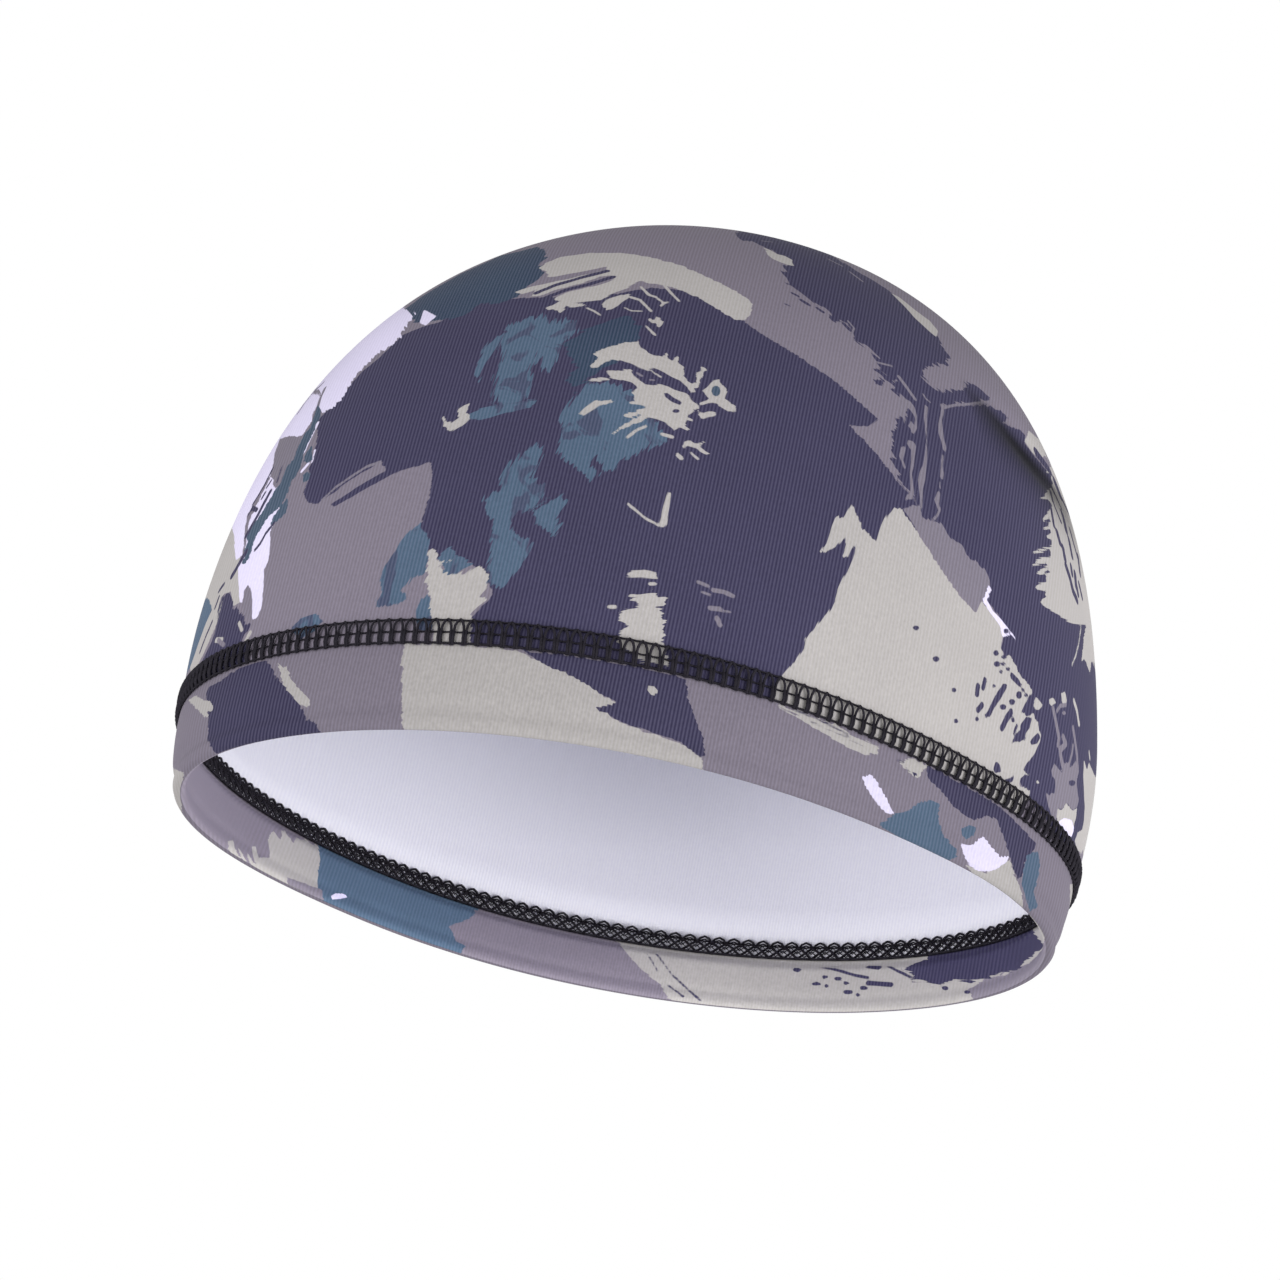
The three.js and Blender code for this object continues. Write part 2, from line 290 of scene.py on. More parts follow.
        (846, 545), (845, 537), (836, 546), (829, 549), (820, 553), (819, 551), (827, 544), (832, 526), (835, 517),
        (843, 517), (848, 511), (852, 504), (856, 512), (862, 528), (869, 536), (876, 541), (882, 525), (888, 514),
        (894, 508), (901, 509), (912, 524), (928, 549), (946, 577), (965, 602), (976, 612), (982, 602), (990, 612),
        (1000, 620), (1003, 632), (1001, 648), (1004, 656), (1010, 655), (1013, 661), (1017, 669), (1022, 677),
        (1028, 684), (1033, 691), (1030, 697), (1026, 704), (1022, 712), (1028, 717), (1033, 714), (1037, 722),
        (1041, 735), (1040, 742), (1035, 752), (1030, 760), (1023, 769), (1029, 774), (1021, 778), (1019, 785),
        (1030, 792), (1024, 810), (1000, 830), (900, 790)]),
    Patch("chalk", 40, 0.2, [(1036, 697), (1040, 701), (1043, 706), (1039, 710), (1033, 708), (1034, 702)]),
    Patch("chalk", 80, 0.2, [(1049, 699), (1054, 698), (1056, 703), (1052, 706), (1049, 703)]),
    Patch("chalk", 80, 0.2, [(1061, 693), (1065, 692), (1067, 700), (1066, 705), (1062, 703)]),
    # ragged pale edge at the right limb, under the crease
    Patch("chalk", -8, 0.4, [
        (1045, 474), (1050, 473), (1053, 484), (1049, 490), (1047, 490), (1044, 496), (1039, 499), (1048, 500),
        (1052, 505), (1051, 509), (1048, 511), (1045, 514), (1043, 520), (1050, 517), (1051, 523), (1046, 527),
        (1042, 531), (1050, 528), (1051, 533), (1047, 537), (1052, 540), (1052, 545), (1044, 547), (1036, 549),
        (1032, 554), (1042, 553), (1050, 550), (1051, 556), (1044, 557), (1036, 560), (1032, 566), (1040, 564),
        (1046, 562), (1048, 566), (1041, 569), (1036, 573), (1040, 575), (1048, 570), (1050, 572), (1046, 576),
        (1046, 582), (1041, 583), (1038, 583), (1036, 588), (1044, 590), (1047, 588), (1046, 594), (1041, 603),
        (1050, 610), (1060, 617), (1073, 624), (1086, 625), (1084, 636), (1083, 648), (1081, 664), (1084, 659),
        (1087, 665), (1090, 674), (1091, 664), (1094, 662), (1096, 676), (1110, 690), (1120, 640), (1110, 560),
        (1090, 500), (1066, 470), (1055, 462)]),
    Patch("chalk", -60, 0.3, [(1024, 441), (1029, 431), (1040, 440), (1050, 452), (1042, 458), (1033, 453)]),
    Patch("chalk", -85, 0.4, [
        (1084, 760), (1087, 768), (1089, 762), (1091, 768), (1094, 775), (1100, 785), (1098, 800), (1094, 812),
        (1092, 822), (1088, 840), (1083, 856), (1078, 852), (1075, 840), (1078, 832), (1082, 830), (1084, 820),
        (1085, 805), (1084, 790), (1083, 775)]),
    Patch("chalk", 30, 0.3, [
        (1057, 808), (1062, 810), (1066, 802), (1069, 806), (1073, 811), (1077, 808), (1076, 818), (1074, 826),
        (1060, 826), (1056, 816)]),
    Patch("chalk", 65, 0.35, [
        (252, 480), (247, 505), (243, 515), (241, 535), (240, 560), (239, 580), (240, 602), (234, 606), (231, 593),
        (226, 592), (221, 598), (218, 610), (217, 622), (213, 631), (208, 643), (200, 660), (194, 674), (190, 668),
        (197, 648), (205, 626), (212, 610), (209, 598), (196, 600), (205, 545), (235, 480)]),
    Patch("chalk", 40, 0.5, [
        (427, 549), (434, 547), (438, 555), (437, 562), (450, 559), (456, 558), (441, 567), (449, 577), (465, 573),
        (476, 566), (484, 568), (489, 578), (485, 590), (480, 597), (486, 600), (478, 605), (472, 613), (470, 650),
        (434, 650), (432, 620), (430, 600), (426, 585), (428, 565)]),
    Patch("chalk", -25, 0.25, [
        (764, 248), (770, 250), (777, 254), (785, 256), (792, 260), (794, 266), (788, 265), (780, 262), (773, 259),
        (768, 255)]),
    Patch("chalk", -42, 0.2, [
        (891, 293), (900, 298), (915, 310), (930, 321), (938, 331), (936, 337), (930, 332), (915, 318),
        (902, 304)]),
    # lilac-white strokes, most of them along the left limb
    Patch("lilac", -55, 0.9, [
        (403, 306), (413, 316), (406, 325), (398, 340), (388, 348), (378, 353), (369, 362), (356, 375), (347, 388),
        (341, 400), (332, 408), (322, 414), (318, 404), (320, 392), (312, 384), (330, 360), (350, 340), (375, 320),
        (390, 306)]),
    Patch("lilac", 15, 0.2, [(424, 310), (437, 316), (426, 325), (420, 323), (422, 315)]),
    Patch("lilac", -58, 0.35, [
        (322, 398), (314, 411), (311, 422), (302, 436), (290, 437), (281, 440), (276, 449), (274, 463), (270, 476),
        (262, 490), (255, 500), (252, 508), (247, 515), (245, 530), (244, 545), (242, 555), (236, 560), (232, 520),
        (245, 480), (262, 440), (285, 405), (300, 385)]),
    Patch("lilac", -58, 0.5, [
        (270, 478), (262, 494), (256, 506), (250, 520), (246, 536), (245, 552), (240, 566), (250, 560), (262, 546),
        (272, 528), (280, 505), (284, 484)]),
    Patch("lilac", -75, 0.25, [
        (238, 562), (246, 562), (254, 551), (262, 540), (270, 527), (270, 545), (268, 560), (264, 571), (263, 590),
        (262, 605), (258, 617), (252, 620), (252, 608), (252, 592), (248, 585), (244, 591), (243, 602), (240, 602),
        (238, 580)]),
    Patch("lilac", -50, 0.4, [
        (988, 584), (992, 590), (987, 600), (993, 611), (1002, 620), (1009, 630), (1012, 641), (1003, 636),
        (999, 625), (990, 614), (983, 602)]),
    Patch("lilac", 20, 0.2, [
        (1059, 822), (1064, 818), (1072, 820), (1074, 828), (1072, 836), (1068, 838), (1062, 832)]),
    # mauve strokes laid over the rest
    Patch("mauve", -55, 0.3, [
        (903, 509), (912, 506), (921, 505), (922, 519), (935, 522), (941, 523), (950, 538), (962, 545), (968, 558),
        (985, 570), (990, 583), (985, 592), (981, 602), (975, 612), (960, 594), (940, 565), (920, 535)]),
    Patch("mauve", 60, 0.3, [
        (280, 439), (290, 436), (300, 438), (304, 441), (297, 455), (290, 466), (283, 480), (277, 489), (273, 485),
        (273, 470), (275, 453)]),
    Patch("mauve", 85, 0.15, [
        (940, 404), (944, 403), (944, 412), (942, 420), (943, 430), (944, 438), (946, 448), (945, 452), (943, 450),
        (941, 440), (938, 432), (938, 424), (940, 416), (941, 408)]),
    Patch("mauve", 85, 0.15, [
        (942, 454), (944, 456), (943, 466), (944, 474), (943, 480), (940, 478), (941, 468), (941, 460)]),
    Patch("mauve", 70, 0.15, [
        (937, 492), (940, 490), (940, 498), (939, 504), (941, 510), (939, 515), (935, 520), (931, 520), (936, 515),
        (938, 510), (936, 504), (934, 499), (936, 495)]),
    Patch("mauve", 85, 0.12, [
        (925, 405), (928, 407), (927, 416), (927, 430), (927, 445), (927, 460), (926, 470), (925, 480), (923, 488),
        (922, 500), (922, 508), (920, 508), (920, 498), (919, 488), (918, 480), (920, 472), (923, 466), (925, 455),
        (926, 440), (925, 425), (924, 415)]),
    Patch("mauve", 85, 0.12, [
        (900, 393), (905, 398), (911, 402), (915, 408), (917, 416), (917, 428), (914, 434), (911, 433), (911, 429),
        (908, 426), (911, 421), (914, 425), (915, 418), (912, 412), (908, 408), (905, 414), (906, 420), (904, 425),
        (903, 418), (900, 416), (899, 404)]),
    Patch("mauve", 85, 0.12, [
        (908, 440), (913, 441), (916, 446), (915, 456), (914, 466), (912, 474), (913, 484), (914, 493), (912, 499),
        (905, 500), (907, 495), (910, 492), (910, 482), (910, 472), (911, 462), (911, 450), (907, 444)]),
    Patch("mauve", 80, 0.1, [
        (901, 447), (906, 446), (905, 452), (903, 460), (906, 468), (904, 469), (901, 461), (899, 456)]),
    Patch("mauve", 88, 0.3, [(247, 586), (250, 588), (252, 600), (252, 615), (248, 623), (244, 612), (243, 600)]),
    Patch("ink_drops", -85, 0.2, [
        (1003, 637), (1012, 635), (1016, 640), (1015, 648), (1010, 654), (1006, 656), (1001, 648), (1003, 642)]),
    Patch("ink_drops", 60, 0.2, [
        (1026, 717), (1032, 717), (1030, 728), (1026, 733), (1025, 740), (1018, 742), (1012, 743), (1015, 735),
        (1020, 730), (1021, 724)]),
    Patch("ink_drops", 60, 0.1, [(1038, 733), (1041, 737), (1037, 744), (1031, 745), (1030, 741), (1034, 736)]),
    Patch("ink_drops", 60, 0.2, [(1030, 694), (1034, 706), (1030, 715), (1026, 711), (1021, 713), (1026, 703)]),
    Patch("ink_drops", 80, 0.1, [(996, 760), (1000, 765), (1001, 772), (995, 773), (993, 769)]),
    Patch("ink_drops", 30, 0.1, [(1014, 775), (1013, 781), (1008, 784), (1004, 780), (1010, 778)]),
    Patch("mauve", -85, 0.4, [
        (1051, 770), (1054, 763), (1058, 768), (1062, 771), (1064, 764), (1068, 762), (1070, 768), (1076, 760),
        (1078, 770), (1077, 785), (1079, 800), (1077, 808), (1073, 811), (1069, 806), (1066, 803), (1062, 809),
        (1057, 808), (1056, 822), (1050, 812), (1047, 800), (1045, 792), (1050, 795), (1055, 792), (1055, 780),
        (1052, 776)]),
]

# More strokes on the back, as pixels of a picture from behind
BACK_VIEW = (218, 10)
BACK_PATCHES = [
    Patch("indigo", 10, 0.9, [
        (250, 430), (300, 372), (350, 330), (410, 300), (480, 280), (560, 266), (650, 258), (740, 268), (820, 290),
        (890, 326), (950, 380), (975, 440), (940, 412), (905, 392), (870, 394), (830, 366), (780, 356), (730, 334),
        (680, 340), (630, 330), (570, 344), (520, 342), (470, 358), (430, 352), (390, 378), (350, 384),
        (310, 420)]),
    Patch("teal", 12, 0.9, [
        (380, 345), (420, 318), (470, 300), (520, 296), (505, 312), (470, 322), (440, 338), (400, 352)]),
    Patch("chalk", -14, 0.6, [
        (690, 282), (740, 284), (790, 300), (840, 326), (866, 350), (830, 346), (800, 330), (760, 324), (720, 306),
        (700, 298)]),
    Patch("chalk", 8, 0.6, [(560, 300), (590, 292), (630, 294), (610, 302), (640, 306), (600, 312), (570, 310)]),
    Patch("indigo", 70, 0.8, [
        (930, 560), (975, 545), (1010, 580), (1004, 640), (1034, 690), (1010, 742), (960, 760), (920, 742),
        (890, 700), (912, 650), (905, 600)]),
    Patch("teal", 60, 0.7, [(930, 660), (960, 640), (975, 672), (960, 712), (935, 720), (925, 690)]),
    Patch("indigo", -12, 0.8, [
        (300, 830), (380, 822), (460, 846), (540, 862), (620, 890), (700, 905), (690, 930), (600, 925), (520, 905),
        (430, 900), (350, 880), (310, 862)]),
    Patch("chalk", -12, 0.5, [(420, 868), (470, 872), (530, 888), (570, 904), (520, 900), (470, 890)]),
    Patch("indigo", 40, 0.8, [(700, 200), (780, 190), (840, 215), (880, 250), (850, 262), (790, 240), (730, 226)]),
]

# Thin strokes of the brush: ink, width in mm, and the pixels it goes through
CROWN_LINES = [
    ("chalk", 0.6, [(630, 297), (640, 300), (651, 311)]), ("chalk", 0.6, [(641, 287), (649, 295), (656, 297)]),
    ("chalk", 0.6, [(665, 286), (671, 293), (679, 301)]), ("chalk", 0.5, [(658, 299), (664, 303), (668, 302)]),
    ("chalk", 0.5, [(664, 303), (661, 306)]), ("chalk", 0.5, [(646, 326), (655, 335)]),
    ("chalk", 0.45, [(587, 308), (594, 311), (600, 315)]), ("chalk", 0.4, [(625, 308), (632, 311), (642, 311)]),
    ("chalk", 0.55, [(627, 438), (635, 431), (646, 426)]), ("chalk", 0.7, [(662, 434), (672, 437)]),
    ("chalk", 0.9, [(678, 455), (681, 458)]), ("chalk", 0.5, [(691, 453), (698, 459)]),
    ("chalk", 0.35, [(650, 370), (656, 374), (661, 377)]), ("mauve", 0.5, [(637, 373), (642, 376)]),
    ("mauve", 0.4, [(650, 380), (654, 380)]), ("chalk", 0.45, [(628, 504), (645, 518), (660, 526)]),
    ("chalk", 0.7, [(609, 607), (615, 607)]), ("chalk", 0.6, [(650, 584), (655, 584)]),
    ("chalk", 0.5, [(225, 590), (214, 612), (206, 630)]),
    ("chalk", 0.5, [(222, 602), (216, 625), (205, 650), (196, 668)]),
    ("mauve", 0.55, [(943, 408), (955, 405), (970, 404), (985, 402), (994, 401)]),
    ("mauve", 0.35, [(940, 482), (940, 488)]), ("mauve", 0.45, [(923, 394), (926, 399), (930, 402)]),
    ("mauve", 0.9, [(899, 377), (905, 385), (910, 392), (915, 399)]), ("mauve", 0.6, [(698, 582), (708, 586)]),
    ("mauve", 0.5, [(702, 592), (710, 595)]), ("mauve", 0.8, [(713, 590), (724, 592), (733, 596)]),
    ("mauve", 0.9, [(710, 608), (720, 609)]), ("mauve", 0.4, [(722, 611), (730, 612)]),
    ("mauve", 0.9, [(717, 618), (720, 625)]),
    ("mauve", 0.6, [(322, 500), (336, 487), (352, 476), (366, 467), (380, 462)]),
    ("ink_drops", 1.1, [(536, 293), (556, 285), (580, 278), (607, 271)]),
    ("ink_drops", 1.1, [(545, 298), (566, 290), (590, 284), (613, 277)]),
    ("ink_drops", 0.8, [(1006, 686), (998, 700), (986, 716)]), ("lilac", 1.2, [(317, 424), (309, 440), (303, 453)]),
    ("lilac", 0.5, [(315, 450), (312, 462)]), ("lilac", 0.9, [(308, 464), (302, 471)]),
    ("ink_drops", 0.9, [(273, 468), (265, 484), (258, 496), (253, 504)]),
    ("ink_drops", 0.8, [(271, 481), (267, 487)]), ("ink_drops", 1.0, [(265, 493), (262, 498)]),
    ("ink_drops", 1.4, [(270, 492), (263, 505), (258, 515), (251, 527), (246, 536)]),
    ("ink_drops", 0.9, [(274, 523), (266, 533), (260, 544), (255, 550)]),
    ("ink_drops", 1.5, [(246, 552), (239, 564), (232, 576)]),
    ("ink_drops", 1.0, [(249, 514), (252, 508), (257, 510)]), ("ink_drops", 0.6, [(282, 466), (277, 482)]),
    ("slate", 0.8, [(288, 466), (282, 482)]), ("mauve", 1.2, [(323, 383), (312, 394), (304, 404), (298, 413)]),
    ("mauve", 0.9, [(325, 388), (320, 399), (317, 410)]), ("ink_drops", 1.0, [(224, 584), (219, 591)]),
    ("ink_drops", 0.9, [(219, 597), (215, 608)]), ("ink_drops", 0.9, [(212, 622), (206, 636), (200, 652)]),
    ("mauve", 0.9, [(218, 640), (224, 645)]), ("chalk", 1.0, [(216, 640), (222, 640)]),
    ("chalk", 0.9, [(239, 623), (242, 630)]), ("chalk", 1.1, [(246, 640), (250, 633)]),
    ("ink_drops", 0.45, [(850, 440), (852, 441)]), ("indigo", 0.7, [(792, 293), (798, 296)]),
    ("indigo", 0.9, [(801, 300), (809, 305)]), ("indigo", 0.8, [(817, 308), (823, 312)]),
    ("indigo", 0.4, [(785, 304), (790, 306)]), ("indigo", 1.0, [(844, 324), (850, 330)]),
    ("mauve", 0.45, [(852, 334), (854, 328), (848, 321)]), ("mauve", 0.5, [(876, 362), (892, 366)]),
    ("mauve", 0.7, [(850, 272), (862, 281)]), ("mauve", 0.6, [(828, 259), (842, 266)]),
    ("mauve", 0.5, [(756, 247), (766, 250)]), ("mauve", 0.5, [(762, 241), (772, 242)]),
    ("ink_drops", 1.3, [(1012, 676), (1018, 682)]), ("ink_drops", 1.1, [(985, 680), (983, 688)]),
    ("ink_drops", 1.2, [(978, 686), (977, 694)]),
    ("ink_drops", 1.2, [(1004, 687), (999, 694), (994, 703), (989, 714)]),
    ("ink_drops", 1.2, [(982, 705), (978, 710)]), ("ink_drops", 1.4, [(1011, 712), (1007, 718), (1002, 728)]),
    ("ink_drops", 0.7, [(1017, 725), (1014, 733)]), ("lilac", 0.5, [(1011, 633), (1015, 639), (1014, 645)]),
    ("mauve", 1.2, [(1053, 708), (1056, 722), (1059, 738), (1058, 745)]),
    ("mauve", 1.3, [(1063, 737), (1066, 744), (1060, 750), (1061, 758), (1063, 766)]),
    ("mauve", 1.2, [(1073, 728), (1075, 740), (1077, 755), (1078, 772)]),
    ("mauve", 0.9, [(1073, 745), (1072, 753), (1069, 765)]),
    ("mauve", 0.8, [(1057, 711), (1060, 706), (1066, 705)]), ("chalk", 0.8, [(1089, 752), (1090, 759)]),
    ("ink_drops", 1.3, [(1047, 478), (1052, 488), (1057, 499), (1061, 508)]),
    ("ink_drops", 2.2, [(1062, 513), (1064, 520), (1066, 530)]),
    ("ink_drops", 1.1, [(1050, 490), (1053, 502), (1057, 512), (1061, 522)]),
    ("ink_drops", 1.2, [(1051, 508), (1054, 526)]), ("ink_drops", 1.7, [(1057, 532), (1060, 543)]),
    ("ink_drops", 1.8, [(1063, 548), (1065, 559)]),
    ("ink_drops", 1.9, [(1066, 566), (1070, 578), (1073, 591), (1077, 600)]),
    ("ink_drops", 1.6, [(1062, 499), (1069, 514), (1075, 530), (1079, 547), (1082, 562)]),
    ("ink_drops", 2.6, [(1055, 482), (1060, 495)]), ("ink_drops", 1.8, [(1069, 540), (1072, 556)]),
    ("ink_drops", 1.5, [(1071, 566), (1072, 574)]), ("ink_drops", 1.6, [(1070, 530), (1074, 545), (1078, 559)]),
    ("ink_drops", 1.9, [(1075, 574), (1076, 586)]), ("ink_drops", 1.6, [(1078, 556), (1080, 574)]),
    ("ink_drops", 1.7, [(1077, 588), (1078, 594)]), ("ink_drops", 1.6, [(1079, 584), (1082, 597)]),
    ("ink_drops", 2.2, [(1036, 452), (1042, 460), (1050, 471)]),
    ("chalk", 0.55, [(1081, 627), (1079, 642), (1076, 655), (1072, 665)]),
    ("chalk", 1.2, [(1074, 701), (1077, 711), (1079, 724)]),
]

# Spots: ink, centre, and width and height in pixels
CROWN_SPOTS = [
    ("slate", (716, 391), 9, 11), ("ink_drops", (676, 411), 8, 4), ("ink_drops", (916, 628), 7, 5),
    ("ink_drops", (936, 659), 7, 6), ("ink_drops", (954, 690), 5, 5), ("ink_drops", (956, 721), 5, 5),
    ("ink_drops", (1006, 631), 6, 5), ("ink_drops", (996, 653), 6, 6), ("ink_drops", (997, 664), 7, 6),
    ("ink_drops", (1003, 664), 6, 4), ("ink_drops", (1008, 669), 5, 4), ("ink_drops", (1001, 672), 4, 4),
    ("ink_drops", (1020, 685), 4, 4), ("ink_drops", (994, 686), 4, 4), ("ink_drops", (1012, 702), 7, 6),
    ("ink_drops", (1003, 707), 7, 6), ("ink_drops", (1023, 690), 4, 4), ("ink_drops", (1026, 695), 4, 4),
    ("ink_drops", (1019, 695), 6, 8), ("ink_drops", (977, 719), 4, 5), ("ink_drops", (1013, 720), 4, 5),
    ("ink_drops", (1004, 657), 6, 4), ("ink_drops", (1072, 783), 7, 6), ("mauve", (1064, 713), 4, 4),
    ("chalk", (1038, 782), 4, 4),
]

# The hem's outside
BAND_PATCHES = [
    Patch("indigo", 60, 0.6, [
        (206, 690), (262, 655), (272, 668), (280, 680), (290, 692), (299, 700), (304, 716), (318, 726), (330, 780),
        (250, 800), (212, 748), (207, 738), (208, 715)]),
    Patch("chalk", 30, 0.4, [
        (195, 696), (205, 700), (212, 702), (213, 710), (207, 712), (209, 718), (204, 716), (196, 708),
        (188, 700)]),
    Patch("chalk", -50, 0.4, [
        (277, 662), (286, 668), (292, 679), (300, 691), (308, 697), (312, 702), (307, 708), (300, 705), (292, 695),
        (284, 685)]),
    Patch("chalk", 0, 0.3, [
        (408, 630), (470, 630), (520, 652), (545, 665), (580, 680), (600, 694), (617, 703), (603, 706), (594, 709),
        (606, 713), (615, 720), (640, 730), (680, 743), (695, 753), (702, 760), (704, 790), (560, 780), (430, 750),
        (403, 740), (402, 722), (402, 660)]),
    Patch("indigo", -25, 0.3, [
        (505, 640), (560, 640), (640, 650), (683, 665), (686, 680), (688, 700), (694, 715), (702, 735), (705, 755),
        (700, 758), (690, 750), (680, 742), (640, 729), (615, 719), (606, 713), (594, 709), (603, 706), (617, 703),
        (600, 694), (580, 680), (545, 665)]),
    Patch("chalk", 0, 0.1, [(647, 687), (655, 686), (658, 691), (652, 697), (648, 692)]),
    Patch("chalk", -25, 0.5, [
        (769, 699), (790, 706), (815, 715), (835, 722), (850, 733), (865, 741), (878, 748), (876, 753), (862, 754),
        (850, 748), (835, 740), (815, 728), (795, 715), (778, 708)]),
    Patch("lilac", -50, 0.2, [
        (862, 777), (868, 775), (873, 776), (879, 785), (886, 797), (894, 813), (891, 815), (884, 811), (874, 800),
        (866, 787)]),
    Patch("chalk", -20, 0.7, [
        (899, 763), (908, 758), (918, 755), (929, 757), (930, 765), (922, 772), (918, 778), (912, 775),
        (908, 770)]),
    Patch("teal", -10, 0.4, [
        (879, 825), (892, 817), (905, 811), (918, 804), (930, 801), (939, 803), (938, 820), (945, 838), (956, 848),
        (956, 857), (948, 861), (935, 857), (915, 846), (895, 835)]),
    Patch("indigo", -40, 0.4, [
        (924, 750), (940, 766), (960, 779), (985, 795), (1005, 811), (1022, 829), (1036, 844), (1031, 855),
        (1024, 862), (1022, 875), (1018, 881), (1012, 865), (1008, 850), (1003, 835), (997, 820), (988, 815),
        (975, 820), (965, 816), (952, 806), (949, 800), (940, 790), (928, 779)]),
    Patch("teal", 10, 0.4, [(961, 829), (970, 824), (977, 828), (974, 834), (966, 838), (961, 834)]),
    Patch("lilac", -10, 0.3, [
        (960, 843), (968, 845), (975, 843), (979, 838), (984, 837), (988, 843), (994, 850), (1000, 857),
        (1009, 857), (1003, 865), (990, 872), (978, 871), (967, 862)]),
    Patch("chalk", -35, 0.4, [
        (967, 866), (985, 873), (1003, 862), (1010, 860), (1014, 875), (1019, 885), (1023, 900), (1022, 922),
        (1008, 905), (998, 895), (990, 886), (975, 876)]),
    Patch("teal", -80, 0.4, [
        (1027, 855), (1038, 851), (1040, 862), (1037, 880), (1034, 892), (1038, 906), (1030, 912), (1026, 900),
        (1022, 885), (1023, 870)]),
    # a thin white glint near the right end, a painted highlight in chalk
    Patch("chalk", -85, 0.2, [(1070, 884), (1076, 884), (1076, 906), (1070, 906)]),
    Patch("chalk", -85, 0.2, [
        (168, 766), (184, 773), (182, 785), (182, 800), (182, 815), (185, 826), (176, 822), (166, 800),
        (164, 775)]),
]
BAND_LINES = [
    ("ink_drops", 0.6, [(896, 760), (903, 762)]), ("ink_drops", 0.5, [(905, 768), (909, 772)]),
    ("ink_drops", 0.4, [(790, 708), (820, 720), (848, 735)]),
    ("ink_drops", 0.35, [(810, 722), (836, 733), (862, 746)]),
]
BAND_SPOTS = [("ink_drops", (915, 774), 5, 4)]

# The hem's inner face, seen across the hollow on the far side
LINING_PATCHES = [
    Patch("chalk", -70, 0.2, [
        (319, 846), (320, 860), (318, 870), (317, 905), (300, 900), (285, 893), (270, 884), (262, 878), (258, 868),
        (256, 860), (258, 858), (264, 858), (270, 857), (269, 848), (268, 840), (271, 833), (274, 831), (277, 836),
        (280, 840), (282, 836), (281, 831), (284, 829), (286, 834), (290, 838), (293, 843), (295, 840), (297, 837),
        (300, 840), (305, 838), (310, 843), (315, 845)]),
    Patch("chalk", -65, 0.2, [
        (228, 841), (233, 840), (235, 848), (239, 856), (244, 862), (249, 870), (243, 868), (236, 863), (231, 860),
        (229, 848)]),
    Patch("chalk", -65, 0.15, [(238, 848), (241, 851), (246, 860), (251, 869), (246, 866), (241, 856)]),
    Patch("chalk", -65, 0.15, [(247, 852), (251, 858), (257, 868), (262, 877), (254, 872), (249, 861)]),
    Patch("chalk", -65, 0.15, [(252, 846), (256, 847), (258, 855), (257, 862), (262, 871), (257, 866), (253, 856)]),
    Patch("mauve", 10, 0.2, [
        (287, 877), (300, 882), (312, 886), (322, 890), (325, 910), (310, 905), (296, 898), (288, 892)]),
    Patch("teal", -10, 0.4, [
        (318, 838), (332, 845), (347, 851), (372, 861), (402, 874), (432, 885), (458, 893), (484, 903), (470, 918),
        (460, 922), (447, 925), (452, 932), (456, 940), (466, 945), (460, 953), (440, 950), (400, 938), (360, 922),
        (318, 906), (317, 885), (317, 865)]),
    Patch("lilac", 5, 0.1, [(331, 896), (336, 893), (345, 894), (348, 897), (340, 899), (332, 899)]),
    Patch("chalk", -20, 0.4, [
        (600, 920), (622, 948), (640, 968), (660, 985), (676, 1010), (820, 1020), (960, 1015), (972, 1000),
        (970, 990), (985, 978), (1005, 975), (1030, 962), (1042, 950), (1046, 930), (1030, 915), (900, 935),
        (760, 930)]),
    Patch("ink_drops", -5, 0.8, [
        (903, 969), (915, 964), (930, 955), (945, 950), (975, 944), (1000, 938), (1022, 931), (1030, 924),
        (1036, 935), (1043, 945), (1040, 951), (1030, 958), (1015, 971), (1000, 974), (985, 978), (970, 983),
        (955, 978), (940, 985), (925, 982), (911, 981), (915, 975)]),
    Patch("mauve", -10, 0.5, [
        (966, 1020), (972, 1000), (969, 990), (985, 979), (1005, 976), (1030, 963), (1043, 950), (1052, 965),
        (1044, 988), (1010, 1005)]),
]
LINING_LINES = [
    ("ink_drops", 0.5, [(648, 955), (658, 972)]), ("ink_drops", 0.5, [(655, 952), (672, 975), (702, 1002)]),
    ("ink_drops", 0.5, [(668, 985), (684, 997)]),
    ("ink_drops", 0.7, [(800, 962), (830, 968), (850, 974), (868, 978)]),
    ("ink_drops", 0.6, [(880, 962), (900, 972), (912, 978)]), ("ink_drops", 1.1, [(868, 983), (892, 985)]),
    ("ink_drops", 1.2, [(823, 963), (837, 965)]), ("ink_drops", 1.3, [(866, 965), (879, 967)]),
    ("mauve", 0.5, [(1040, 946), (1020, 960), (1000, 975)]),
]
LINING_SPOTS = [
    ("ink_drops", (848, 992), 10, 5), ("ink_drops", (838, 979), 9, 4), ("ink_drops", (825, 977), 6, 4),
    ("ink_drops", (816, 984), 9, 4), ("ink_drops", (827, 986), 5, 4), ("ink_drops", (846, 983), 7, 4),
    ("ink_drops", (864, 988), 8, 5), ("ink_drops", (858, 995), 5, 4), ("ink_drops", (797, 970), 9, 5),
    ("ink_drops", (945, 988), 7, 5), ("ink_drops", (967, 992), 7, 4),
]


# ---------------------------------------------------------------- form of the cloth

def width_at(width, turn):
    """A width that goes smoothly from its front value to its back value."""
    middle = (width["front"] + width["back"]) / 2
    return middle + (width["front"] - width["back"]) / 2 * np.cos(turn)


def plan_radius(turn):
    """How far the cap reaches from its middle at its widest level, seen from above."""
    side, back = np.sin(turn), -np.cos(turn)
    half_width = PLAN["half_width"] * (1 + PLAN["wider_behind"] * back)
    power = PLAN["squareness"]
    return (np.abs(side / half_width) ** power + np.abs(back / PLAN["half_length"]) ** power) ** (-1 / power)


def dome_share(depth):
    """Share of the plan's radius that the dome has reached at a depth."""
    left = np.maximum(1 - depth / DOME["depth"], 0)
    return (1 - left ** DOME["shoulder_power"]) ** (1 / DOME["crown_power"])


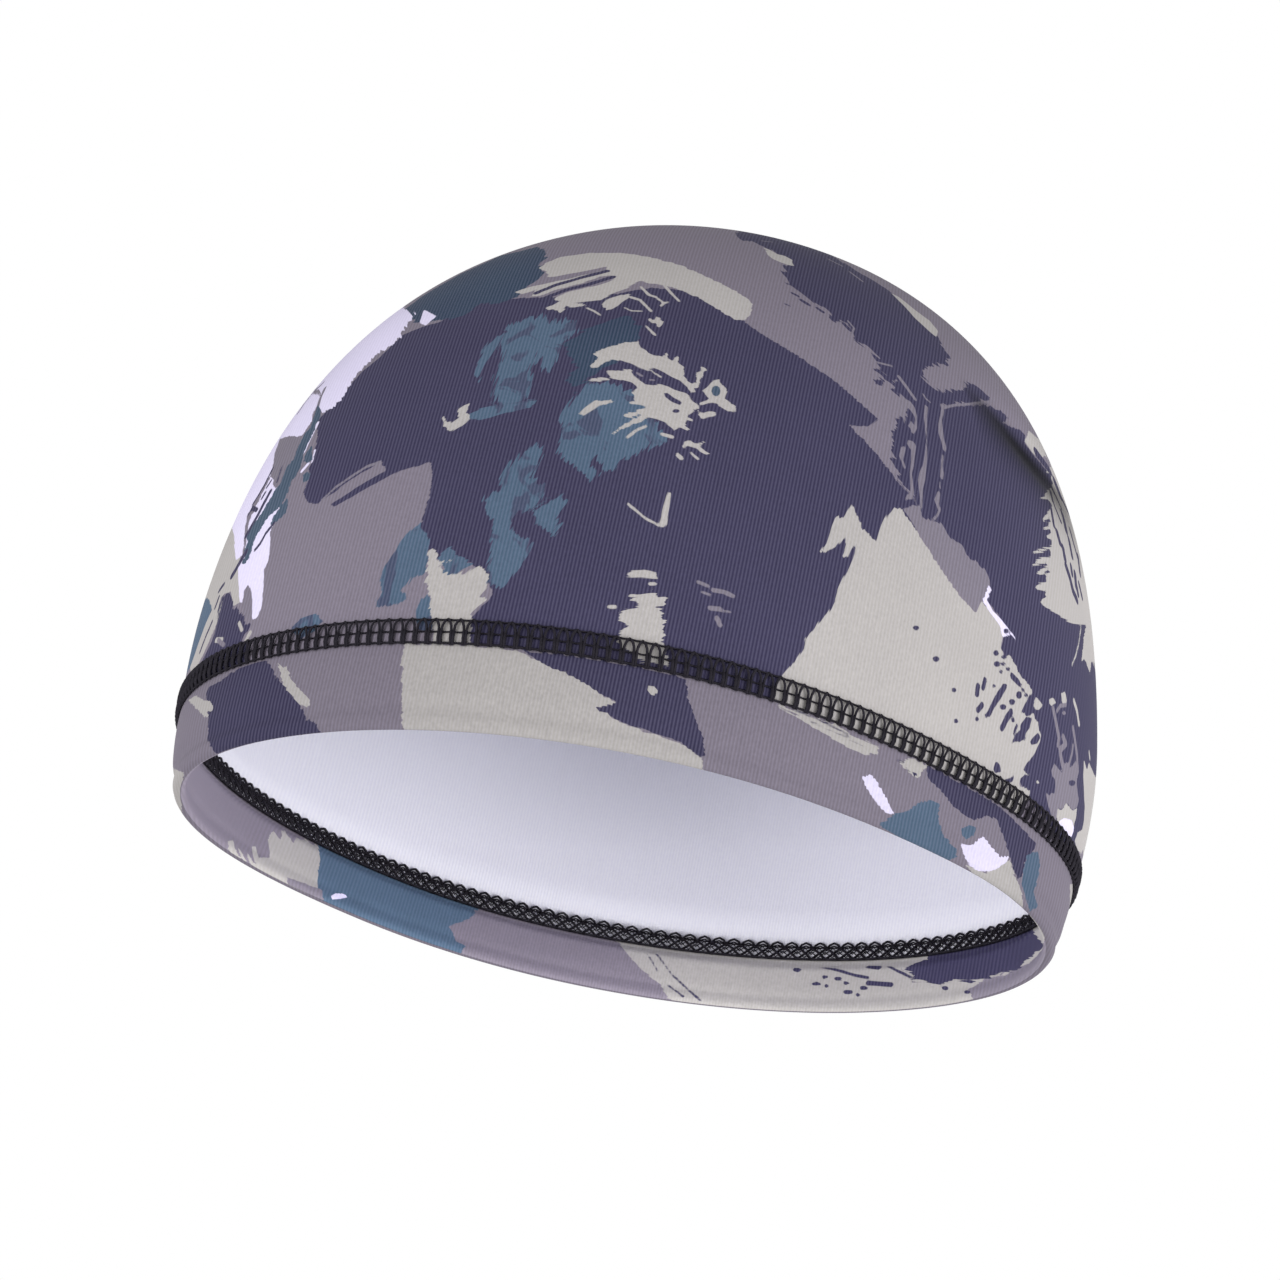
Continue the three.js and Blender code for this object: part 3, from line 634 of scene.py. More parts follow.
def crease_place(turn, depth):
    """Where a place lies from the soft crease on the cap's left side: share of its length, and mm below its line."""
    along = (np.degrees(turn) - CREASE["from_deg"]) / (CREASE["to_deg"] - CREASE["from_deg"])
    middle = CREASE["from_depth"] + along * (CREASE["to_depth"] - CREASE["from_depth"])
    return np.clip(along, 0, 1), depth - middle


def crease_dip(turn, depth):
    """How far the crease dips inwards."""
    along, below = crease_place(turn, depth)
    across = below / CREASE["half_width"]
    return CREASE["deep"] * np.sin(math.pi * along) ** 2 * np.exp(-across * across)


def crease_shade(turn, depth):
    """How dark the crease's shadow is, from 0 to 1: sharp along its upper edge, and fading out below."""
    along, below = crease_place(turn, depth)
    spread = np.where(below < 0, CREASE["shade_above"], CREASE["shade_below"])
    return np.sin(math.pi * along) ** 0.5 * np.exp(-((below / spread) ** 2))


def rim_height(behind_middle):
    """Height of the sloping rim at a distance behind the middle."""
    return CROWN_WALL - RIM["depth"] - RIM["slope"] * behind_middle


def wall_point(turn, depth):
    """Points on the outside of the cloth, in mm: turn in radians from the front leftwards, depth below the top."""
    turn, depth = np.broadcast_arrays(np.asarray(turn, float), np.asarray(depth, float))
    side, back = np.sin(turn), -np.cos(turn)
    radius = plan_radius(turn) * dome_share(depth)
    middle_y = -DOME["top_behind"] * np.minimum(depth / DOME["depth"], 1)
    z = CROWN_WALL - depth
    above_rim = z - rim_height(radius * back + middle_y + DOME["top_behind"])
    pull = np.clip(1 - above_rim / DRAW_IN["height"], 0, 2) ** 2
    drawn = pull * ((1 - back**2) * DRAW_IN["side"] + np.maximum(back, 0) ** 2 * DRAW_IN["back"])
    reach = radius - drawn
    return np.stack([reach * side, reach * back + middle_y, z], axis=-1)


def outward(turn, depth):
    """Directions square to the outside of the cloth."""
    step = np.minimum(0.5, depth / 2)
    around = wall_point(turn + 0.01, depth) - wall_point(turn - 0.01, depth)
    down = wall_point(turn, depth + step) - wall_point(turn, depth - step)
    normal = np.cross(down, around)
    return normal / np.linalg.norm(normal, axis=-1, keepdims=True)


def cloth_point(turn, depth, inset):
    """Points at a distance inwards from the outside of the cloth, square to it."""
    sunk = np.asarray(inset + crease_dip(turn % (2 * math.pi), depth))
    return wall_point(turn, depth) - outward(turn, depth) * sunk[..., None]


def rim_depth(turn):
    """Depth at which the cloth meets the rim."""
    depth = np.full(np.shape(turn), float(RIM["depth"]))
    for _ in range(30):
        point = wall_point(turn, depth)
        depth = depth + (point[..., 2] - rim_height(point[..., 1] + DOME["top_behind"])) / 2
    return depth


def depth_above_rim(turn, width):
    """Depth of the places that lie a width above the rim, measured on the wall and square to the rim."""
    turn, width = np.broadcast_arrays(np.asarray(turn, float), np.asarray(width, float))
    wanted = width * np.hypot(1, RIM["slope"] * np.sin(turn))
    depth = rim_depth(turn)
    here = wall_point(turn, depth)
    left = wanted.copy()
    for _ in range(80):
        following = wall_point(turn, depth - 0.5)
        stride = np.linalg.norm(following - here, axis=-1)
        share = np.clip(left / stride, 0, 1)
        depth = depth - 0.5 * share
        left = np.maximum(left - stride, 0)
        here = wall_point(turn, depth)
        if not left.any():
            break
    return depth


def spaced_turn(share):
    """Turn of a column: the shares 0 to 1 go once round, closer together on the photographed side."""
    angle = 2 * math.pi * share
    return angle + math.radians(PHOTO["azimuth"]) - CLOSER * np.sin(angle)


# ---------------------------------------------------------------- meshes

def wrapped_cloth(columns, rows, place, inner_from):
    """A bmesh grid whose columns go once round the cap and whose rows follow place(turn, row).

    It is closed where it meets itself. The rows from inner_from on are the side that faces the hollow.
    """
    bm = bmesh.new()
    bmesh.ops.create_grid(bm, x_segments=columns, y_segments=rows, size=0.5)
    at = np.array([vert.co[:2] for vert in bm.verts]) + 0.5
    row = np.rint(at[:, 1] * rows).astype(int)
    share = np.rint(at[:, 0] * columns) / columns
    points = place(spaced_turn(share), row) * MM
    side = bm.verts.layers.float.new("inner_side")
    for vert, point, number in zip(bm.verts, points, row):
        vert.co = point
        vert[side] = 1.0 if number >= inner_from else 0.0
    bmesh.ops.remove_doubles(bm, verts=bm.verts, dist=0.000002)
    bmesh.ops.recalc_face_normals(bm, faces=bm.faces)
    for face in bm.faces:
        face.smooth = True
        face.material_index = 1 if all(vert[side] > 0.5 for vert in face.verts) else 0
    return bm


def crown_cloth():
    """The crown: an outer skin from the top to the seam, and a white inner skin back up."""
    outer, inner = CROWN_OUTER_ROWS, CROWN_INNER_ROWS
    down = np.arange(outer + 1) / outer
    down = 1 - np.cos((0.25 * down + 0.75 * down**0.9) * QUARTER)
    up = (1 - np.cos(np.arange(inner + 1) / inner * QUARTER))[::-1]
    share = np.concatenate([down, up])
    inset = np.concatenate([np.full(outer + 1, 0.0), np.full(inner + 1, CROWN_WALL)])

    def place(turn, row):
        bottom = depth_above_rim(turn, width_at(BAND, turn) + width_at(SEAM, turn) * SPLIT + GAP / 2)
        pole = share[row] == 0
        points = cloth_point(turn, np.where(pole, 0.01, bottom * share[row]), inset[row])
        points[pole] = np.stack([np.zeros(pole.sum()), np.zeros(pole.sum()), CROWN_WALL - inset[row][pole]], -1)
        return points

    return wrapped_cloth(CROWN_COLUMNS, len(share) - 1, place, outer + 1)


def hem_cloth():
    """The hem: cloth folded double over elastic, with a puffed body, a round fold and a free edge under the seam."""
    fold = HEM_WALL / 2

    def groove(k, face):
        return HEM_GROOVE[face] * math.exp(-((k - HEM_GROOVE["at"]) / HEM_GROOVE[face + "_spread"]) ** 2)

    # share of the band's width, share of the seam's width, mm added to it, and inset in mm
    rows = [(1, SPLIT, -GAP / 2, 0.0)]
    for k in np.linspace(0.97, 0.1, 18):
        rows.append((k, 0, 0, groove(k, "outside") - HEM_PUFF["outside"] * math.sin(math.pi * (1 - k)) ** 0.7))
    for angle in np.linspace(0, math.pi, 11):
        rows.append((0, 0, fold * (1 - math.sin(angle)), fold * (1 - math.cos(angle))))
    inner_from = len(rows) - 5
    for k in np.linspace(0.12, 0.8, 15):
        rows.append((k, 0, 0, HEM_WALL + HEM_PUFF["inside"] * math.sin(math.pi * k) - groove(k, "inside")))
    rows += [(1, 0, -1.6, 0.85 * HEM_WALL), (1, 0, -0.9, 0.6 * HEM_WALL), (1, 0, -0.2, CROWN_WALL)]
    rows += [(1, SPLIT, -GAP / 2, CROWN_WALL)]
    band, seam, plus, inset = np.array(rows).T

    def place(turn, row):
        row = row % len(rows)
        width = band[row] * width_at(BAND, turn) + seam[row] * width_at(SEAM, turn) + plus[row]
        return cloth_point(turn, depth_above_rim(turn, np.maximum(width, 0)), inset[row])

    return wrapped_cloth(HEM_COLUMNS, len(rows), place, inner_from)


def piece_of(bm, name, node):
    """The finished piece of a bmesh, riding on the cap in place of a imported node."""
    mesh = bpy.data.meshes.new(name)
    bm.to_mesh(mesh)
    bm.free()
    piece = bpy.data.objects.new(name, mesh)
    bpy.context.scene.collection.objects.link(piece)
    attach(piece, "root")
    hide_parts(node)
    return piece


# ---------------------------------------------------------------- laying the print on the cloth

View = namedtuple("View", "place right up forward")


def view_from(azimuth, elevation):
    """A camera's place in mm, and its right, up and forward directions."""
    azimuth, elevation = math.radians(azimuth), math.radians(elevation)
    level = math.cos(elevation)
    back = np.array([math.sin(azimuth) * level, -math.cos(azimuth) * level, math.sin(elevation)])
    right = np.array([math.cos(azimuth), math.sin(azimuth), 0.0])
    return View(np.array(LOOK_AT) + back * PHOTO["distance"], right, np.cross(right, -back), -back)


def pixels_of(view, points):
    """Where points in mm fall in a view's picture."""
    away = points - view.place
    scale = PHOTO["focal_pixels"] / (away @ view.forward)
    middle = PHOTO["pixels"] / 2
    return np.stack([middle + (away @ view.right) * scale, middle - (away @ view.up) * scale], -1)


def casting_wall(inset):
    """The cloth's wall at an inset, going on a little past the rim, to cast outlines onto."""
    def place(turn, row):
        depth = (rim_depth(turn) + PAST_RIM) * np.maximum(row, 0.05) / CASTING_ROWS
        return cloth_point(turn, depth, np.full(np.shape(row), inset))

    bm = wrapped_cloth(CASTING_COLUMNS, CASTING_ROWS, place, CASTING_ROWS + 1)
    bmesh.ops.scale(bm, verts=bm.verts, vec=(1 / MM, 1 / MM, 1 / MM))
    tree = BVHTree.FromBMesh(bm)
    bm.free()
    return tree


def cast(view, pixels, wall, across_hollow):
    """Pixels of a view cast onto a wall, in mm, or NaN where the ray misses it.

    They fall on the wall's near side, or else on the far side, seen across the hollow.
    """
    flat = (np.asarray(pixels, float) - PHOTO["pixels"] / 2) / PHOTO["focal_pixels"]
    rays = view.forward + flat[:, :1] * view.right - flat[:, 1:] * view.up
    rays /= np.linalg.norm(rays, axis=1, keepdims=True)
    hits = np.full(rays.shape, np.nan)
    for number, ray in enumerate(rays):
        if across_hollow:
            hit = wall.ray_cast(Vector(view.place + ray * 2 * PHOTO["distance"]), Vector(-ray))[0]
        else:
            hit = wall.ray_cast(Vector(view.place), Vector(ray))[0]
        if hit is not None:
            hits[number] = hit
    return hits


def drawn_finely(corners, closed):
    """An outline's corners with more between them, OUTLINE_STEP pixels apart."""
    corners = np.array(corners, float)
    ends = np.roll(corners, -1, axis=0) if closed else corners[1:]
    starts = corners if closed else corners[:-1]
    fine = []
    for start, end in zip(starts, ends):
        steps = max(1, round(float(np.linalg.norm(end - start)) / OUTLINE_STEP))
        fine += [start + (end - start) * k / steps for k in range(steps)]
    return np.array(fine + [ends[-1]])


def gap_to(points, line):
    """Distance in mm from points to a line of cast places, which is broken where a cast missed."""
    starts, spans = line[:-1], line[1:] - line[:-1]
    length = np.linalg.norm(spans, axis=1)
    sound = length < SOUND_SPAN
    starts, spans, length = starts[sound], spans[sound], np.maximum(length[sound], 1e-6)
    best = np.full(len(points), 50.0)
    if not len(starts):
        return best
    size = max(1, 1500000 // len(starts))
    for first in range(0, len(points), size):
        some = points[first:first + size, None] - starts
        along = np.clip(np.einsum("ijk,jk->ij", some, spans) / length**2, 0, 1)
        some -= along[..., None] * spans
        best[first:first + size] = np.sqrt(np.einsum("ijk,ijk->ij", some, some).min(axis=1))
    return best


def inside_outline(pixels, corners):
    """Which pixels lie inside an outline."""
    x, y = pixels.T
    inside = np.zeros(len(pixels), bool)
    for (x1, y1), (x2, y2) in zip(corners, corners[1:] + corners[:1]):
        if y1 != y2:
            inside ^= ((y1 > y) != (y2 > y)) & (x < (x2 - x1) * (y - y1) / (y2 - y1) + x1)
    return inside


def round_spot(centre, wide, tall):
    """A spot's outline."""
    return [(centre[0] + wide / 2 * math.cos(a), centre[1] + tall / 2 * math.sin(a))
            for a in np.linspace(0, 2 * math.pi, 10, endpoint=False)]


def moved_print(patches, turn_deg, shift, mirrored=False, about=(640, 600)):
    """The print's patches mirrored, turned and shifted in the picture, for where it repeats on the unseen sides."""
    c, s = math.cos(math.radians(turn_deg)), math.sin(math.radians(turn_deg))

    def moved(x, y):
        x, y = x - about[0], y - about[1]
        x = -x if mirrored else x
        return about[0] + shift[0] + c * x + s * y, about[1] + shift[1] - s * x + c * y

    return [patch._replace(lie=patch.lie + turn_deg, corners=[moved(*corner) for corner in patch.corners])
            for patch in patches]


def shaped_marks(lines, spots):
    """Thin strokes and spots as marks: an ink, half its width in mm, and its corners."""
    marks = [(ink, width / 2, route) for ink, width, route in lines]
    return marks + [(ink, None, round_spot(centre, wide, tall)) for ink, centre, wide, tall in spots]


class Ink:
    """The print on one cloth: for each vertex and ink, the depth inside the stroke's edge, its raggedness, and the
    place along and across the brush."""

    def __init__(self, points, normals):
        self.points, self.normals = points, normals
        self.layers = {ink: np.tile(NO_INK, (len(points), 1)) for ink in INKS}

    def facing(self, view):
        """How squarely the cloth faces a view's camera, as a cosine."""
        towards = view.place - self.points
        towards /= np.linalg.norm(towards, axis=1, keepdims=True)
        return np.einsum("ij,ij->i", self.normals, towards)

    def lay(self, casts, view, usable, hidden_from):
        """Lays a view's casts on the cloth that faces it and, where hidden_from is given, turns away from that view.

        hidden_from is then that view, and how squarely the cloth has to face the casts' own view.
        """
        pixels = pixels_of(view, self.points)
        x, y, z = self.points.T
        wander = 0.09 * (np.sin(x / 7 + z / 11) * np.sin(z / 6 - y / 9) + np.sin(y / 4 + z / 3)) / 2 - 0.09
        cap = np.minimum((self.facing(view) + LIMB_REACH + wander) * LIMB_FADE, SOLID)
        if hidden_from:
            other, squarely = hidden_from
            turned_away = -0.03 - self.facing(other) + wander
            cap = np.minimum(self.facing(view) - squarely + wander, turned_away) * HIDDEN_FADE
        near = usable & (cap > -3)
        for ink, lie, bristle, body, corners, line in casts:
            low, high = np.min(corners, axis=0) - OUTLINE_MARGIN, np.max(corners, axis=0) + OUTLINE_MARGIN
            chosen = np.flatnonzero(near & (pixels > low).all(1) & (pixels < high).all(1))
            if not len(chosen):
                continue
            gap = gap_to(self.points[chosen], line)
            if lie is None and bristle is not None:
                deep = bristle - gap
                ragged, angle = LINE_RAGGED, 0.0
            else:
                inside = inside_outline(pixels[chosen], corners)
                deep = np.where(inside, gap, -gap)
                ragged, angle = (SPOT_RAGGED, 0.0) if lie is None else (bristle, math.radians(lie))
            deep = np.minimum(np.minimum(deep, body), cap[chosen])
            layer = self.layers[ink]
            over = deep > layer[chosen, 0]
            won = chosen[over]
            mm = pixels[won] / PIXELS_PER_MM
            layer[won, 0] = deep[over]
            layer[won, 1] = ragged
            layer[won, 2] = mm[:, 0] * math.cos(angle) - mm[:, 1] * math.sin(angle)
            layer[won, 3] = mm[:, 0] * math.sin(angle) + mm[:, 1] * math.cos(angle)

    def nearness(self):
        """How near each vertex is to an edge of any stroke, in mm."""
        return np.min([np.abs(layer[:, 0]) for layer in self.layers.values()], axis=0)


def cast_all(patches, marks, view, wall, across_hollow):
    """Each patch and mark as its ink, lie, bristle, body, corners, and the line that its outline casts on a wall."""
    casts = []
    for patch in patches:
        line = cast(view, drawn_finely(patch.corners, True), wall, across_hollow)
        casts.append((patch.ink, patch.lie, patch.bristle, patch.body, list(patch.corners), line))
    for ink, half_width, route in marks:
        line = cast(view, drawn_finely(route, half_width is None), wall, across_hollow)
        casts.append((ink, None, half_width, SOLID, list(route), line))
    return casts


def printed(bm, prints, limits):
    """Lays prints on a cloth, whose faces are cut finer beside the strokes' edges. Returns the ink of its vertices.

    A print is its casts, its view, whether it goes on the inner side, and Ink.lay's hidden_from.
    """
    def inked():
        bm.verts.ensure_lookup_table()
        bm.normal_update()
        bm.verts.index_update()
        side = bm.verts.layers.float["inner_side"]
        points = np.array([vert.co for vert in bm.verts]) / MM
        normals = np.array([vert.normal for vert in bm.verts])
        inner = np.array([vert[side] for vert in bm.verts]) > 0.5
        ink = Ink(points, normals)
        for casts, view, on_inner, hidden_from in prints:
            ink.lay(casts, view, inner if on_inner else ~inner, hidden_from)
        return ink

    ink = inked()
    for limit in limits:
        near = ink.nearness() < limit
        edges = [edge for edge in bm.edges if near[edge.verts[0].index] and near[edge.verts[1].index]]
        bmesh.ops.subdivide_edges(bm, edges=edges, cuts=1, use_grid_fill=True)
        ink = inked()
    bmesh.ops.triangulate(bm, faces=[face for face in bm.faces if len(face.verts) > 4])
    return ink


def keep_ink(piece, ink):
    """Stores the print in the piece's vertices, and how dark the soft crease's painted shadow is at each."""
    x, y, z = ink.points.T
    depth = CROWN_WALL - z
    turn = np.arctan2(x, -(y + DOME["top_behind"] * np.minimum(depth / DOME["depth"], 1)))
    shade = piece.data.attributes.new("crease_shade", "FLOAT", "POINT")
    shade.data.foreach_set("value", crease_shade(turn, depth).astype(np.float32))
    for name, layer in ink.layers.items():
        stored = piece.data.attributes.new(name, "FLOAT_COLOR", "POINT")
        stored.data.foreach_set("color", layer.astype(np.float32).ravel())


# ---------------------------------------------------------------- stitches

def thread(bm, route, radius, sides=4):
    """A thread as a closed tube along a route of points in the stitch's own flat frame, in mm."""
    route = [Vector(point) for point in route]
    rings = []
    for number, point in enumerate(route):
        before, after = route[max(number - 1, 0)], route[min(number + 1, len(route) - 1)]
        along = (after - before).normalized()
        turn = along.to_track_quat("Z", "Y").to_matrix().to_4x4()
        turn.translation = point
        circle = bmesh.ops.create_circle(bm, cap_ends=number in (0, len(route) - 1), segments=sides, radius=radius,
                                         matrix=turn)
        rings.append([edge for edge in {edge for vert in circle["verts"] for edge in vert.link_edges}])
    for first, second in zip(rings, rings[1:]):
        bmesh.ops.bridge_loops(bm, edges=first + second)


def outer_stitch(pitch, height):
    """One repeat of the covering stitch: two straight threads, a bar, a double rung, and a thread up to a peak."""
    bm = bmesh.new()
    radius = OUTER_THREADS
    end, foot, middle, top = 0.52 * pitch, 0.05 * height, 0.46 * height, 0.94 * height
    thread(bm, [(-end, top, 0.36), (0, top - 0.06, 0.32), (end, top, 0.36)], radius["top"], 3)
    thread(bm, [(-end, foot, 0.26), (end, foot, 0.26)], radius["foot"], 3)
    thread(bm, [(-0.5 * pitch, middle, 0.28), (0, middle + 0.05, 0.42), (0.5 * pitch, middle, 0.28)],
           radius["bar"], 3)
    for side in (-1, 1):
        thread(bm, [(side * 0.18, -0.08, 0.14), (side * 0.22, 0.22 * height, 0.58),
                    (side * 0.27, middle + 0.2, 0.48)], radius["rung"])
        thread(bm, [(side * 0.22, middle - 0.25, 0.5), (side * 0.15 * pitch, 0.68 * height, 0.6),
                    (side * 0.3 * pitch, 0.86 * height, 0.52), (side * 0.53 * pitch, top + 0.1, 0.26)],
               radius["peak"])
    return bm


def inner_stitch(pitch, height):
    """One repeat of the looper side: a straight chain, crossed threads with finer ones between, and an arch."""
    bm = bmesh.new()
    radius = INNER_THREADS
    low, high = 0.07 * height, 0.68 * height
    half = pitch / 2
    thread(bm, [(-1.05 * half, low, 0.36), (0, low - 0.05, 0.56), (1.05 * half, low, 0.36)], radius["chain"], 3)
    thread(bm, [(-half, low, 0.5), (0, 0.38 * height, 0.62), (half, high, 0.46)], radius["crossing"], 3)
    thread(bm, [(half, low, 0.36), (0, 0.38 * height, 0.36), (-half, high, 0.4)], radius["crossing"], 3)
    thread(bm, [(-half, 0.3 * height, 0.5), (0, 0.62 * height, 0.66), (half, 0.36 * height, 0.5)],
           radius["filling"], 3)
    thread(bm, [(-half, 0.46 * height, 0.6), (0, 0.14 * height, 0.42), (half, 0.4 * height, 0.6)],
           radius["filling"], 3)
    thread(bm, [(-1.02 * half, high, 0.3), (0, high + 0.03, 0.26), (1.02 * half, high, 0.3)],
           radius["straight"], 3)
    arch = [(half * x, (0.66 + 0.26 * (1 - x * x)) * height, 0.36 + 0.3 * (1 - x * x))
            for x in (-1.2, -0.6, 0, 0.6, 1.2)]
    thread(bm, arch, radius["arch"], 3)
    thread(bm, [(x, y - 0.13 * height, 0.34) for x, y, _ in arch[1:4]], radius["straight"], 3)
    return bm


def sewn_round(name, node, stitch, pitches, side, inset):
    """A stitch repeated round the cap on the seam: side is 1 on the outside of the cloth and -1 inside it."""
    turn = np.linspace(0, 2 * math.pi, 721)
    points = wall_point(turn, depth_above_rim(turn, width_at(BAND, turn) + width_at(SEAM, turn) / 2))
    strides = np.linalg.norm(np.diff(points, axis=0), axis=1) / width_at(pitches, (turn[1:] + turn[:-1]) / 2)
    sewn = np.concatenate([[0], np.cumsum(strides)])
    count = round(sewn[-1])
    mean_pitch = (pitches["front"] + pitches["back"]) / 2
    mean_height = (SEAM["front"] + SEAM["back"]) / 2
    flat = stitch(mean_pitch, mean_height)
    one = bpy.data.meshes.new("one_stitch")
    flat.to_mesh(one)
    flat.free()
    bm = bmesh.new()
    for number in range(count):
        start = len(bm.verts)
        bm.from_mesh(one)
        bm.verts.ensure_lookup_table()
        bmesh.ops.translate(bm, verts=bm.verts[start:], vec=(number * mean_pitch, 0, 0))
    bpy.data.meshes.remove(one)
    along, up, lift = np.array([vert.co for vert in bm.verts]).T
    vert_turn = np.interp(along / mean_pitch % count, sewn / sewn[-1] * count, turn)
    above_seam_edge = width_at(SEAM, vert_turn) * (up / mean_height)
    depth = depth_above_rim(vert_turn, width_at(BAND, vert_turn) + above_seam_edge)
    places = cloth_point(vert_turn, depth, inset - side * lift) * MM
    for vert, place in zip(bm.verts, places):
        vert.co = place
    bmesh.ops.recalc_face_normals(bm, faces=bm.faces)
    for face in bm.faces:
        face.smooth = True
    return piece_of(bm, name, node)


# ---------------------------------------------------------------- finishes

def srgb(red, green, blue):
    """A colour as a shader takes it, from the 0 to 255 values that a picture shows."""
    shares = [value / 255 for value in (red, green, blue)]
    return tuple(s / 12.92 if s <= 0.04045 else ((s + 0.055) / 1.055) ** 2.4 for s in shares) + (1.0,)


def dimmed(color, share):
    """A shader's colour at a share of its brightness."""
    return tuple(value * share for value in color[:3]) + (1.0,)


# The ground under the print, and each ink's paler and darker tone. The bluish teal of the upper left is the teal
# darkened, partly as painted shade.
GROUND = srgb(121, 114, 126)
TONES = {
    "indigo": (srgb(58, 55, 81), srgb(52, 49, 74)), "teal_with_painted_shade": (srgb(52, 70, 90), srgb(44, 56, 78)),
    "teal": (srgb(80, 101, 123), srgb(70, 90, 111)), "chalk": (srgb(179, 175, 172), srgb(169, 165, 163)),
    "lilac": (srgb(228, 221, 247), srgb(218, 212, 238)), "mauve": (srgb(123, 117, 128), srgb(116, 110, 122)),
    "slate": (srgb(72, 90, 108), srgb(58, 74, 92)), "ink_drops": (srgb(57, 54, 80), srgb(53, 50, 75)),
}
RIB_COLOR = srgb(150, 147, 172)
# The inside's knit tones, and the tone of a painted shade deep in the hollow, which grows from none at the lower to
# full at the upper of these heights in metres
WHITE = {"dark": srgb(233, 232, 246), "light": srgb(249, 248, 255), "deep": srgb(184, 184, 198)}
PAINTED_SHADE_BETWEEN = (-0.11, -0.056)
# The thread's near-black tone, and the paler tone of its raised turns, a painted sheen
BLACK = {"dark": srgb(20, 18, 23), "light": srgb(48, 45, 54)}

# The hem's brightness against the crown's: painted shade outside, and painted light on its inner face, for most inks
# and for chalk
HEM_PAINTED_SHADE = 0.86
LINING_PAINTED_LIGHT = 1.5
LINING_CHALK_PAINTED_LIGHT = 1.3


def node(tree, kind, inputs=None, **settings):
    """A node with its settings; inputs gives a socket's value or the socket that it is linked from."""
    made = tree.nodes.new(kind)
    for key, value in settings.items():
        setattr(made, key, value)
    for key, value in (inputs or {}).items():
        if isinstance(value, bpy.types.NodeSocket):
            tree.links.new(value, made.inputs[key])
        else:
            made.inputs[key].default_value = value
    return made


def maths(tree, operation, first, second=0.0, third=None):
    """The result of a sum on values or sockets."""
    values = {0: first, 1: second}
    if third is not None:
        values[2] = third
    return node(tree, "ShaderNodeMath", values, operation=operation).outputs[0]


def blend(tree, share, first, second, mode="MIX"):
    """A mix of two colours."""
    made = node(tree, "ShaderNodeMix", {0: share, 6: first, 7: second}, data_type="RGBA", blend_type=mode)
    return made.outputs[2]


def stretched(tree, value, low, high, top=1.0, **settings):
    """A value stretched from between low and high to between 0 and top."""
    return node(tree, "ShaderNodeMapRange", {"Value": value, "From Min": low, "From Max": high, "To Max": top},
                **settings).outputs["Result"]


def knit_bump(tree, shader, height, strength, distance):
    """Raises a shader's surface by a height."""
    bump = node(tree, "ShaderNodeBump", {"Height": height, "Strength": strength, "Distance": distance})
    tree.links.new(bump.outputs["Normal"], shader.inputs["Normal"])


def brush_ink():
    """The cover of one ink: the stroke's depth inside its edge, broken up by noise drawn out along the brush."""
    group = bpy.data.node_groups.new("brush_ink", "ShaderNodeTree")
    for name in ("Ink", "Across", "Seed"):
        kind = "NodeSocketColor" if name == "Ink" else "NodeSocketFloat"
        group.interface.new_socket(name, in_out="INPUT", socket_type=kind)
    group.interface.new_socket("Cover", in_out="OUTPUT", socket_type="NodeSocketFloat")
    start, end = group.nodes.new("NodeGroupInput"), group.nodes.new("NodeGroupOutput")
    parts = node(group, "ShaderNodeSeparateColor", {"Color": start.outputs["Ink"]})
    depth, ragged, along = parts.outputs
    bristle_long, bristle_wide = 7, 0.75
    drawn = node(group, "ShaderNodeCombineXYZ", {
        "X": maths(group, "MULTIPLY", along, 1 / bristle_long),
        "Y": maths(group, "MULTIPLY", start.outputs["Across"], 1 / bristle_wide), "Z": start.outputs["Seed"]})
    noise = node(group, "ShaderNodeTexNoise", {"Vector": drawn.outputs[0], "Scale": 1.0, "Detail": 2.0,
                                              "Roughness": 0.6}, noise_dimensions="3D")
    swing = maths(group, "MULTIPLY", maths(group, "SUBTRACT", noise.outputs["Fac"], 0.5), 4.2)
    edge = maths(group, "MULTIPLY_ADD", swing, ragged, depth)
    cover = stretched(group, edge, -0.13, 0.13, interpolation_type="SMOOTHSTEP")
    group.links.new(cover, end.inputs["Cover"])
    return group


def knit_ribs(tree, place):
    """Fine upright ribs of the knit, RIB_PITCH apart, as a wave from 0 to 1.

    The ribs of the front and of the sides change over where the cloth turns away, so that they stay even.
    """
    _, right, up, forward = view_from(PHOTO["azimuth"], 0)
    normal = node(tree, "ShaderNodeNewGeometry").outputs["Normal"]
    waves = []
    for lean in (right - 0.2 * up, forward - 0.2 * up):
        run = node(tree, "ShaderNodeVectorMath", {0: place, 1: Vector(lean)}, operation="DOT_PRODUCT")
        phase = maths(tree, "MULTIPLY", run.outputs["Value"], 2 * math.pi / (RIB_PITCH * MM))
        waves.append(maths(tree, "MULTIPLY_ADD", maths(tree, "SINE", phase), 0.5, 0.5))
    aside = node(tree, "ShaderNodeVectorMath", {0: normal, 1: Vector(right)}, operation="DOT_PRODUCT")
    change = stretched(tree, maths(tree, "ABSOLUTE", aside.outputs["Value"]), 0.86, 0.97,
                       interpolation_type="SMOOTHSTEP")
    mixed = node(tree, "ShaderNodeMix", {0: change, 2: waves[0], 3: waves[1]}, data_type="FLOAT")
    return mixed.outputs[0]


